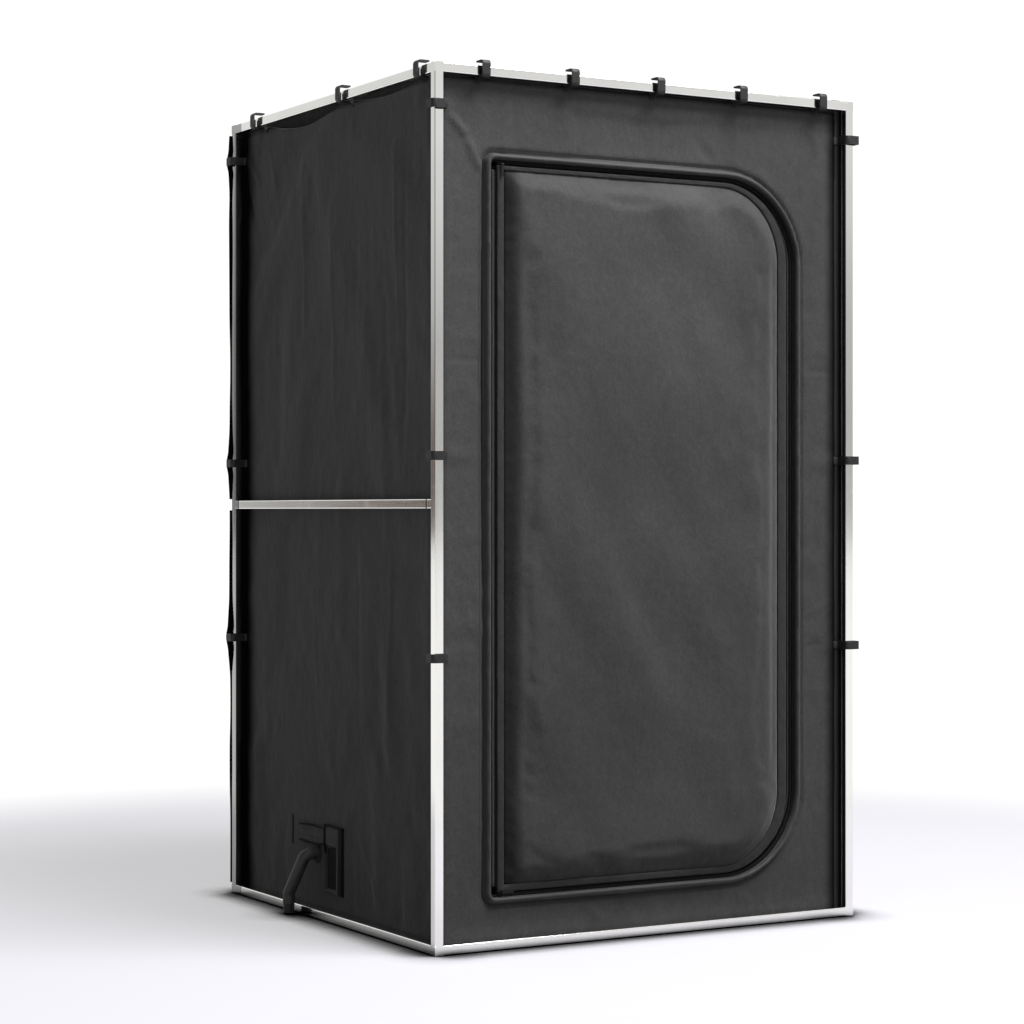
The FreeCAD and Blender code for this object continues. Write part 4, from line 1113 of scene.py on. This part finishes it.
def coil_teeth(inset_root, inset_tip, start, body, name, node, phase):
    """One half of the zip: woven tape and a row of coil loops along its edge."""
    tape_y0, tape_y1 = front_y + 7 * MM, front_y + 8.5 * MM
    tape_edge = inset_root
    inner = 20 * MM if inset_tip > inset_root else lip_inset
    lo, hi = min(tape_edge, inner), max(tape_edge, inner)
    tape = [(lo, tape_y0), (hi, tape_y0), (hi, tape_y1), (lo, tape_y1)]
    parts = [door_band(tape, start=start)]
    mesh = make_mesh(name + "_tape", *join(parts))
    add_piece(name + "_tape", mesh, black_tape, body=body, replaces=[node])
    path = door_loop((inset_root + inset_tip) / 2, start=start)
    length = np.concatenate([[0], np.cumsum(np.linalg.norm(np.diff(path, axis=0), axis=1))])
    pitch = 2.6 * MM
    at = np.arange(phase * pitch, length[-1] - pitch, pitch)
    x, z = np.interp(at, length, path[:, 0]), np.interp(at, length, path[:, 1])
    x1, z1 = np.interp(at + 0.5 * MM, length, path[:, 0]), np.interp(at + 0.5 * MM, length, path[:, 1])
    along = np.stack([x1 - x, 0 * x, z1 - z], -1)
    along /= np.linalg.norm(along, axis=1)[:, None]
    inward = np.cross(along, (0, 1, 0)) * (1 if inset_tip > inset_root else -1)
    reach = abs(inset_tip - inset_root) / 2 + 0.3 * MM
    middle = np.stack([x, np.full(len(x), front_y + 7.3 * MM), z], -1)
    sides = 6
    turn = np.arange(sides) * 2 * math.pi / sides
    ring = along[:, None] * (np.cos(turn) * 0.75 * MM)[None, :, None]
    ring = ring + np.array([0, 1, 0]) * (np.sin(turn) * 2.0 * MM)[None, :, None]
    rows = []
    for share, scale in ((-1.0, 0.8), (-0.2, 1.0), (0.55, 1.0), (0.9, 1.15), (1.0, 0.55)):
        rows.append(middle[:, None] + inward[:, None] * reach * share + ring * scale)
    points = np.stack(rows, 1)
    index = np.arange(points.shape[0] * 5 * sides).reshape(-1, 5, sides)
    index = np.concatenate([index, index[:, :, :1]], 2)
    faces = np.stack([index[:, :-1, :-1], index[:, 1:, :-1], index[:, 1:, 1:], index[:, :-1, 1:]], -1)
    end = index[:, -1]
    caps = [np.stack([end[:, 0], end[:, 1], end[:, 2], end[:, 3]], -1),
            np.stack([end[:, 0], end[:, 3], end[:, 4], end[:, 5]], -1)]
    mesh = make_mesh(name + "_coil", points.reshape(-1, 3), np.concatenate([faces.reshape(-1, 4), *caps]))
    add_piece(name + "_coil", mesh, coil_nylon, body=body)


def door_edge():
    """Bound edge of the door: a firm rounded lip with a row of stitches."""
    outer = lip_inset - LIP_OVERHANG
    width = LIP + LIP_OVERHANG
    profile = bead(outer, width, lip_low.y + 0.8 * MM, lip_low.y + 5 * MM, 14, 3.6)[:14]
    profile += [(outer + width - 0.5 * MM, lip_low.y + 5.5 * MM), (outer + 0.5 * MM, lip_low.y + 5.5 * MM)]
    mesh = make_mesh("door_edge_lip", *door_band(profile, wobble=0.7 * MM, seed=9, settle=True))
    add_piece("door_edge_lip", mesh, lip_cloth, body="door", replaces=["door_edge_binding"])
    core = [(lip_inset, lip_low.y + 4.5 * MM), (lip_inset + LIP, lip_low.y + 4.5 * MM),
            (lip_inset + LIP, lip_high.y), (lip_inset, lip_high.y)]
    mesh = make_mesh("door_edge_core", *door_band(core, settle=True))
    add_piece("door_edge_core", mesh, black_cloth, body="door")
    seam = door_loop(lip_inset + LIP * 0.78)
    seam = np.stack(settled(seam[:, 0], seam[:, 1], lip_inset + LIP * 0.78), -1)
    seam = np.stack([seam[:, 0], np.full(len(seam), lip_low.y + 1.7 * MM), seam[:, 1]], -1)
    mesh = make_mesh("door_lip_stitches", *stitches(seam, (0, -1, 0)))
    add_piece("door_lip_stitches", mesh, thread, body="door")


def pad_shape(x, z):
    """Height of the padded door over its seam, with the sloping rim and soft wrinkles."""
    inside = -door_distance(x, z) - panel_inset
    facet = inside / BEVEL
    height = PAD_RISE * (facet - np.maximum(facet - 0.8, 0) ** 2 / 0.8)
    height = np.where(facet > 1.2, PAD_RISE, height)
    middle = smooth_step((inside - 0.4 * BEVEL) / (1.2 * BEVEL))
    slow = soft_noise(x * 2.6 + z * 0.7, z * 2.2 - x * 0.5, 101) * 8.0 * MM
    folds = soft_noise((x + z * 0.55) * 7.5, (z - x * 0.5) * 3.4, 102) * 8.0 * MM
    fine = soft_noise((x - z * 0.4) * 19, (z + x * 0.5) * 13, 103) * soft_noise(x * 4, z * 4, 104) * 2.0 * MM
    rim_wave = soft_noise(x * 13, z * 13, 105) * 0.6 * MM * smooth_step(inside / (0.3 * BEVEL))
    return height + (slow + folds + fine) * middle + rim_wave


def door_pad():
    """The padded door panel."""
    spacing = 7 * MM
    xs = rows_between(door_left + panel_inset - spacing, door_right - panel_inset + spacing, spacing)
    zs = rows_between(door_low + panel_inset - spacing, door_high - panel_inset + spacing, spacing)
    x, z = np.meshgrid(xs, zs, indexing="ij")
    middle_x, middle_z = (x[:-1, :-1] + x[1:, 1:]) / 2, (z[:-1, :-1] + z[1:, 1:]) / 2
    keep = door_distance(middle_x, middle_z) < -panel_inset + 0.5 * MM
    x, z = snapped(x, z, keep, door_distance, -panel_inset + 0.5 * MM)
    seam_y = panel_high.y - 2.5 * MM
    height = np.maximum(pad_shape(x, z), 0)
    x, z = settled(x, z, panel_inset)
    front = np.stack([x, seam_y - height, z], -1)
    held = height < 0.6 * MM
    after = draped("pad_cloth", front, keep, held, pressure=1.5, growth=0.004, bending=1.5)
    front = capped(front, after, 3 * MM)
    back = np.stack([x, 0 * x + panel_high.y, z], -1)
    mesh = make_mesh("door_pad", *shell(front, back, keep))
    add_piece("door_pad", mesh, door_cloth, body="door", replaces=["door_panel"])


def door_inside():
    """Silver lining on the inside of the door, quilted in lozenges that flatten towards its edge."""
    spacing = 9 * MM
    xs = rows_between(door_left + panel_inset - spacing, door_right - panel_inset + spacing, spacing)
    zs = rows_between(door_low + panel_inset - spacing, door_high - panel_inset + spacing, spacing)
    x, z = np.meshgrid(xs, zs, indexing="ij")
    middle_x, middle_z = (x[:-1, :-1] + x[1:, 1:]) / 2, (z[:-1, :-1] + z[1:, 1:]) / 2
    keep = door_distance(middle_x, middle_z) < -panel_inset
    x, z = snapped(x, z, keep, door_distance, -panel_inset)
    quilt = np.abs(np.sin((x + z) * math.pi / 0.12)) * np.abs(np.sin((x - z) * math.pi / 0.12))
    edge = smooth_step((-door_distance(x, z) - panel_inset) / 0.03)
    x, z = settled(x, z, panel_inset)
    outer = door_lining_low.y + 0 * x
    inner = door_lining_high.y + 4 * MM * quilt ** 0.5 * edge
    mesh = make_mesh("door_silver_lining", *shell(np.stack([x, outer, z], -1), np.stack([x, inner, z], -1), keep))
    add_piece("door_silver_lining", mesh, foil, body="door", replaces=["door_lining"])


def door_hinge_cloth():
    """Fold of cloth that joins the doorway's welt to the door along the straight side."""
    zs = rows_between(gusset_low.z, gusset_high.z, 9 * MM)
    start = gusset_low.x - 1.5 * MM
    end = door_left + lip_inset + 1.5 * MM
    xs = rows_between(start, end, 1.6 * MM)
    x, z = np.meshgrid(xs, zs, indexing="ij")
    share = (x - start) / (end - start)
    fold = 6.0 * MM * np.exp(-((share - 0.42) / 0.15) ** 2)
    y = gusset_low.y + 0.5 * MM - fold + soft_noise(x * 0 + 4.2, z * 12, 111) * 0.5 * MM
    mesh = make_mesh("door_hinge_cloth", *shell(np.stack([x, y, z], -1), np.stack([x, y + 1.6 * MM, z], -1)))
    piece = add_piece("door_hinge_cloth", mesh, dark_cloth, body=None, replaces=["door_gusset"])
    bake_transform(piece)


# ------------------------------------------------------------------ hooks' webbing and the steam port
def strip(path, across, half, thick, out):
    """Flat tape along a path, with rounded edges."""
    path, across, out = (np.asarray(v, float) for v in (path, across, out))
    ring = [(-half, 0), (-half, thick * 0.6), (-half + thick / 2, thick), (half - thick / 2, thick),
            (half, thick * 0.6), (half, 0)]
    points = np.stack([path + across * a + out * b for a, b in ring], 1)
    index = np.arange(points.shape[0] * len(ring)).reshape(-1, len(ring))
    index = np.hstack([index, index[:, :1]])
    faces = np.stack([index[:-1, :-1], index[:-1, 1:], index[1:, 1:], index[1:, :-1]], -1).reshape(-1, 4)
    caps = []
    for end in (index[0], index[-1][::-1]):
        base = end[:6] if end is index[0] else end[1:7]
        caps += [[base[0], base[1], base[4], base[5]], [base[1], base[2], base[3], base[4]]]
    return points.reshape(-1, 3), np.concatenate([faces, np.array(caps)])


def hook_webbing_loops():
    """Webbing that sews each hook to the tent: a short tape on the wall with two rows of stitches."""
    tapes, threads = [], []
    half, thick, length = 8 * MM, 1.4 * MM, 11 * MM

    def add(side, path_u, path_z, across):
        normal = {"front": (0, -1, 0), "back": (0, 1, 0), "left": (-1, 0, 0), "right": (1, 0, 0)}[side]
        flat = half_width(side) - CORNER_ROUND
        u = np.clip(path_u, -flat, flat)
        point = on_wall(side, u, path_z, np.maximum(relief(side, u, path_z), -1.5 * MM) + 0.2 * MM)
        extra = path_u - u
        point = point + np.outer(extra, (1, 0, 0) if side in ("front", "back") else (0, 1, 0))
        tapes.append(strip(point, across, half, thick, normal))
        for row in (-0.7, 0.7):
            seam = point[int(len(point) * 0.4):] + np.array(across) * half * row + np.array(normal) * thick
            threads.append(stitches(seam, normal, 2.6 * MM))

    for side in wall_boxes:
        along = (1, 0, 0) if side in ("front", "back") else (0, 1, 0)
        for hook in hooks_of(side):
            zs = np.linspace(tent_high.z - 8 * MM, tent_high.z - 10 * MM - length, 9)
            add(side, np.full(9, hook), zs, along)
    for side in ("front", "left", "right"):
        half_side = half_width(side)
        for end in (-1, 1):
            if side != "front" and end < 0:
                continue
            for z in post_hooks_z:
                us = end * np.linspace(half_side + 1 * MM, half_side - length, 9)
                add(side, us, np.full(9, z), (0, 0, 1))
    mesh = make_mesh("hook_webbing", *join(tapes))
    add_piece("hook_webbing", mesh, hook_webbing, replaces=["hook_tabs"])
    mesh = make_mesh("hook_webbing_stitches", *join(threads))
    add_piece("hook_webbing_stitches", mesh, thread)


def port_cloth():
    """Gathered collar of the steam port."""
    turns = np.linspace(0, 2 * math.pi, 73)[:-1]
    rows = []
    profile = [(12.4, 0.5), (12.3, -3), (12.6, -5.4), (13.6, -6.4), (15.2, -6.0), (16.6, -4.2), (17.4, -1.8),
               (18.6, -0.4), (18.6, 1.2)]
    grow = (collar_high.z - collar_low.z) / 2 / (17 * MM)
    for radius, out in profile:
        radius *= grow
        pleat = 1 + 0.035 * np.sin(turns * 18) * min(1.0, abs(out) / 4)
        rows.append(np.stack([left_x + out * MM + 0 * turns, port_y + radius * MM * pleat * np.cos(turns),
                              port_z + radius * MM * pleat * np.sin(turns)], -1))
    points = np.stack(rows, 1)
    index = np.arange(points.shape[0] * len(profile)).reshape(-1, len(profile))
    index = np.vstack([index, index[:1]])
    index = np.hstack([index, index[:, :1]])
    faces = np.stack([index[:-1, :-1], index[:-1, 1:], index[1:, 1:], index[1:, :-1]], -1).reshape(-1, 4)
    mesh = make_mesh("port_cuff", points.reshape(-1, 3), faces)
    add_piece("port_cuff", mesh, dark_cloth, replaces=["port_collar"])


def port_panel(name, y_range, z_range, out, thick, material, body, node, edge, seed):
    """Small sewn panel on the left wall, with a bound edge."""
    ys = rows_between(*y_range, 2.5 * MM)
    zs = rows_between(*z_range, 2.5 * MM)
    y, z = np.meshgrid(ys, zs, indexing="ij")
    inside = np.minimum(np.minimum(y - ys[0], ys[-1] - y), np.minimum(z - zs[0], zs[-1] - z))
    puff = thick * (0.45 + 0.55 * smooth_step(inside / (3 * MM)))
    wave = soft_noise(y * 26, z * 26, seed) * 0.9 * MM * smooth_step(inside / (8 * MM))
    x = left_x - out - puff - wave
    bind = edge * np.exp(-((inside - 3 * MM) / (2 * MM)) ** 2)
    front = np.stack([x - bind, y, z], -1)
    back = np.stack([left_x - out + 0 * y, y, z], -1)
    mesh = make_mesh(name, *shell(front, back))
    return add_piece(name, mesh, material, body=body, replaces=[node] if node else ())


def port_pocket():
    """Pocket beside the port, for tucking the flap away: a padded frame round a mouth of flat black cloth, painted
    shade for the pocket's opening, with a wide black binding on its front side."""
    ys = rows_between(pocket_low.y, pocket_high.y, 2 * MM)
    zs = rows_between(pocket_low.z, pocket_high.z, 2 * MM)
    y, z = np.meshgrid(ys, zs, indexing="ij")
    inside = np.maximum(np.abs(y - MOUTH_Y) - MOUTH_HALF_Y, np.abs(z - MOUTH_Z) - MOUTH_HALF_Z)
    outer = np.minimum(np.minimum(y - ys[0], ys[-1] - y), np.minimum(z - zs[0], zs[-1] - z))
    height = 5.0 * MM * smooth_step(outer / (4 * MM)) * smooth_step(inside / (4 * MM) + 0.2)
    height = np.maximum(height, 0.4 * MM) + soft_noise(y * 30, z * 30, 121) * 0.7 * MM * smooth_step(outer / 0.01)
    middle_y = (y[:-1, :-1] + y[1:, 1:]) / 2
    cell_inside = (inside[:-1, :-1] + inside[1:, 1:]) / 2
    band = middle_y < pocket_low.y + POCKET_BAND
    front = np.stack([left_x - height, y, z], -1)
    back = np.stack([left_x + 0.5 * MM + 0 * y, y, z], -1)
    # the mouth is flat black cloth: painted shade for the pocket's opening
    for name, keep, material in (("port_pocket_cloth", ~band & (cell_inside > -1 * MM), wall_cloth["YZ"]),
                                 ("port_pocket_binding", band, black_cloth),
                                 ("port_pocket_mouth", ~band & (cell_inside <= -1 * MM), black_cloth)):
        mesh = make_mesh(name, *shell(front, back, keep))
        replaces = ["port_pocket"] if name == "port_pocket_cloth" else ()
        add_piece(name, mesh, material, replaces=replaces)
    edges = []
    for path, radius in (([(pocket_low.y, pocket_high.z), (pocket_high.y, pocket_high.z + 1.5 * MM)], 2.2 * MM),
                         ([(pocket_high.y - 5 * MM, pocket_high.z + 3 * MM), (pocket_high.y - 6 * MM, pocket_low.z + 0.09)],
                          2.4 * MM)):
        path = np.array(path)
        at = np.linspace(0, 1, 16)[:, None]
        points = path[0] + (path[1] - path[0]) * at
        sway = soft_noise(at[:, 0] * 5, at[:, 0] * 0 + 0.5, 127) * 1.2 * MM
        line = np.stack([np.full(16, left_x - 4.6 * MM), points[:, 0] + sway, points[:, 1] + sway], -1)
        edges.append(tube_along(line, radius, 8, across=(1, 0, 0)))
    mesh = make_mesh("port_pocket_piping", *join(edges))
    add_piece("port_pocket_piping", mesh, black_cloth)


def flap_piping():
    """Black piping along the flap: the upper one is sewn to the wall over the flap's hinge seam, the lower
    one is on the flap's free edge."""
    ys = rows_between(flap_low.y + 1 * MM, flap_high.y - 16 * MM, 5 * MM)
    share = (ys - ys[0]) / (ys[-1] - ys[0])
    for name, body, height, bow in (("flap_seam_piping", ROOT, flap_high.z - 3 * MM, 1.8 * MM),
                                    ("flap_edge_piping", "port_flap", flap_low.z + 1 * MM, -3.5 * MM)):
        z = height + bow * np.sin(share * math.pi) + 1.2 * MM * soft_noise(share * 4, share * 0 + height, 133)
        line = np.stack([np.full(len(ys), flap_low.x - 2.0 * MM), ys, z], -1)
        mesh = make_mesh(name, *tube_along(line, 1.9 * MM, 8, across=(1, 0, 0)))
        add_piece(name, mesh, black_cloth, body=body)


def port_stitches():
    """Stitch rows on the flap."""
    rows = []
    x = flap_low.x - 1.6 * MM
    ys = rows_between(flap_low.y + 4 * MM, flap_high.y - 4 * MM, 3 * MM)
    for z in (flap_low.z + 4 * MM, flap_low.z + 13 * MM, flap_high.z - 13 * MM, flap_high.z - 4 * MM):
        rows.append(stitches(np.stack([0 * ys + x, ys, 0 * ys + z], -1), (-1, 0, 0), 3.2 * MM))
    mesh = make_mesh("flap_stitches", *join(rows))
    add_piece("flap_stitches", mesh, thread, body="port_flap")


# ------------------------------------------------------------------ stage
KEY_POWER = 560
FILL_POWER = 62
LEFT_POWER = 8
AMBIENT = 0.45
FLOOR_GLOW = 0.50


def stage():
    """White floor with a painted contact shadow near the tent, white surroundings, soft light from the right front, and
    the camera.
    """
    scene = bpy.context.scene
    scene.view_settings.view_transform = "Standard"
    scene.view_settings.look = "None"

    s = Shader("studio_floor")
    # painted shadow: ambient occlusion darkens the floor's colour and glow near the tent
    nearness = s.node("AmbientOcclusion", {"samples": 8, "only_local": False}, Distance=0.11).outputs["AO"]
    painted_contact_shadow = s.ramp(nearness, (0.60, 0.0), (0.74, 0.10), (0.87, 0.52), (0.98, 1.0))
    shade = s.node("Mix", {"data_type": "RGBA", "blend_type": "MULTIPLY"}, _0=1.0, _6=painted_contact_shadow,
                   _7=(0.296, 0.288, 0.326, 1.0)).outputs[2]
    path = s.node("LightPath").outputs
    seen = s.math("MAXIMUM", path["Is Camera Ray"], path["Is Glossy Ray"])
    glow_strength = s.math("MULTIPLY", seen, FLOOR_GLOW)
    kept = s.math("MULTIPLY_ADD", seen, 0.55)
    kept.node.inputs[2].default_value = 0.45
    shade = s.node("Mix", {"data_type": "RGBA", "blend_type": "MULTIPLY"}, _0=1.0, _6=shade, _7=kept).outputs[2]
    glow = s.node("Emission", Color=painted_contact_shadow, Strength=glow_strength)
    diffuse = s.node("BsdfDiffuse", Color=shade)
    both = s.node("AddShader", _0=diffuse.outputs[0], _1=glow.outputs[0])
    from_middle = s.node("VectorMath", {"operation": "LENGTH"}, _0=s.place).outputs["Value"]
    far = s.node("MapRange", {"interpolation_type": "SMOOTHSTEP"}, Value=from_middle, From_Min=1.9,
                 From_Max=3.2).outputs[0]
    white = s.node("Emission", Color=(1.0, 1.0, 1.0, 1.0), Strength=s.math("ADD", s.math("MULTIPLY", seen, 0.65), 0.45))
    whole = s.node("MixShader", _0=far, _1=both.outputs[0], _2=white.outputs[0])
    s.tree.links.new(whole.outputs[0], s.out.inputs[0])
    reach = 60.0
    mesh = bpy.data.meshes.new("studio_floor")
    corners = [(-reach, -reach, 0), (reach, -reach, 0), (reach, reach, 0), (-reach, reach, 0)]
    mesh.from_pydata(corners, [], [(0, 1, 2, 3)])
    mesh.materials.append(s.material)
    floor = bpy.data.objects.new("studio_floor", mesh)
    floor.location.z = -0.4 * MM
    scene.collection.objects.link(floor)

    world = bpy.data.worlds.new("studio")
    scene.world = world
    world.use_nodes = True
    w = Shader.__new__(Shader)
    w.tree = world.node_tree
    w.tree.nodes.clear()
    w.out = w.node("OutputWorld")
    w.place = w.node("TexCoord").outputs["Generated"]
    path = w.node("LightPath")
    split = w.node("SeparateXYZ", Vector=w.place).outputs
    # soft light that reaches cloth: mostly from overhead
    overhead = w.ramp(split[2], (0.0, 0.16), (0.25, 0.34), (1.0, 1.0))
    ambient = w.node("Background", Color=overhead, Strength=AMBIENT)
    # what polished steel sees: pale walls with a dark opening to the left and a warm one behind it
    level = w.ramp(split[2], (0.0, 0.50), (0.07, 0.54), (0.14, 0.84), (0.5, 1.0))
    turn = w.math("DIVIDE", w.math("ARCTAN2", split[0], split[1]), math.pi)
    turn = w.math("ADD", w.math("MULTIPLY", turn, 0.5), 0.5)
    around = w.ramp(turn, (0.13, 1.0), (0.19, 0.12), (0.34, 0.12), (0.385, 0.5), (0.44, 1.1), (0.50, 1.0),
                    (0.62, 0.8), (0.86, 1.0))
    cabinet = w.ramp(turn, (0.36, 1.0), (0.385, (0.30, 0.22, 0.18)), (0.4245, (0.30, 0.22, 0.18)), (0.4335, 1.0))
    height = w.math("ABSOLUTE", split[2])
    off_level = w.node("MapRange", {"interpolation_type": "SMOOTHSTEP"}, Value=height, From_Min=0.02,
                       From_Max=0.08).outputs[0]
    cabinet = w.node("Mix", {"data_type": "RGBA"}, _0=off_level, _6=cabinet, _7=(1, 1, 1, 1)).outputs[2]
    left_dark = w.node("Mix", {"data_type": "RGBA", "blend_type": "MULTIPLY"}, _0=1.0, _6=around,
                       _7=cabinet).outputs[2]
    mirrored = w.node("Mix", {"data_type": "RGBA", "blend_type": "MULTIPLY"}, _0=1.0, _6=level,
                      _7=left_dark).outputs[2]
    mirror = w.node("Background", Color=mirrored, Strength=1.0)
    seen = w.node("Background", Color=(1, 1, 1, 1), Strength=1.05)
    lit = w.node("MixShader", _0=path.outputs["Is Glossy Ray"], _1=ambient.outputs[0], _2=mirror.outputs[0])
    all_rays = w.node("MixShader", _0=path.outputs["Is Camera Ray"], _1=lit.outputs[0], _2=seen.outputs[0])
    w.tree.links.new(all_rays.outputs[0], w.out.inputs[0])

    def area(name, place, target, size, power, colour=(1, 1, 1)):
        light = bpy.data.lights.new(name, "AREA")
        light.shape = "RECTANGLE"
        light.size, light.size_y = size
        light.energy = power
        light.color = colour
        lamp = bpy.data.objects.new(name, light)
        lamp.location = place
        way = np.array(target, float) - np.array(place, float)
        lamp.rotation_euler = Vector(way).to_track_quat("-Z", "Y").to_euler()
        scene.collection.objects.link(lamp)
        return lamp

    area("key", (1.3, -2.6, 5.6), (0.0, -0.25, 0.9), (2.8, 2.8), KEY_POWER)
    fill = area("front_fill", (-0.4, -6.0, 3.2), (0.0, 0.0, 0.9), (2.0, 1.6), FILL_POWER)
    fill.visible_glossy = False
    side = area("left_rim", (-3.4, 3.6, 3.2), (-0.5, 0.0, 0.9), (1.2, 1.2), LEFT_POWER)
    side.visible_glossy = False

    camera = bpy.data.cameras.new("camera")
    camera.lens = 90.14
    camera.sensor_width = 36.0
    camera.clip_start, camera.clip_end = 0.1, 200.0
    holder = bpy.data.objects.new("camera", camera)
    holder.location = (-2.9637, -5.045, 0.8962)
    holder.rotation_euler = (math.radians(90 - 0.03), 0, math.radians(-29.96))
    scene.collection.objects.link(holder)
    scene.camera = holder


finish_frame()
drapes = {side: drape_wall(side) for side in wall_boxes}
for side in wall_boxes:
    tent_wall(side)
wall_lining()
roof()
ground_sheet()
seam_piping()
doorway_welt()
coil_teeth(26.5 * MM, 28.5 * MM, -0.366, ROOT, "zip_frame", "zip_frame_side", 0.0)
coil_teeth(31.5 * MM, 29.5 * MM, -0.366, "door", "zip_door", "zip_door_side", 0.5)
door_edge()
door_pad()
door_inside()
door_hinge_cloth()
hook_webbing_loops()
port_cloth()
port_pocket()
port_panel("port_flap_cloth", (flap_low.y, flap_high.y), (flap_low.z, flap_high.z), -(flap_high.x - left_x),
           2.0 * MM, wall_cloth["YZ"], "port_flap", "port_flap", 0.8 * MM, 131)
flap_piping()
port_panel("fastener_side_tape", (tapes_high.y - 12 * MM, tapes_high.y), (tapes_low.z, tapes_high.z), 0.0,
           1.6 * MM, black_tape, ROOT, "flap_fastener_tapes", 0.0, 141)
port_stitches()
stage()
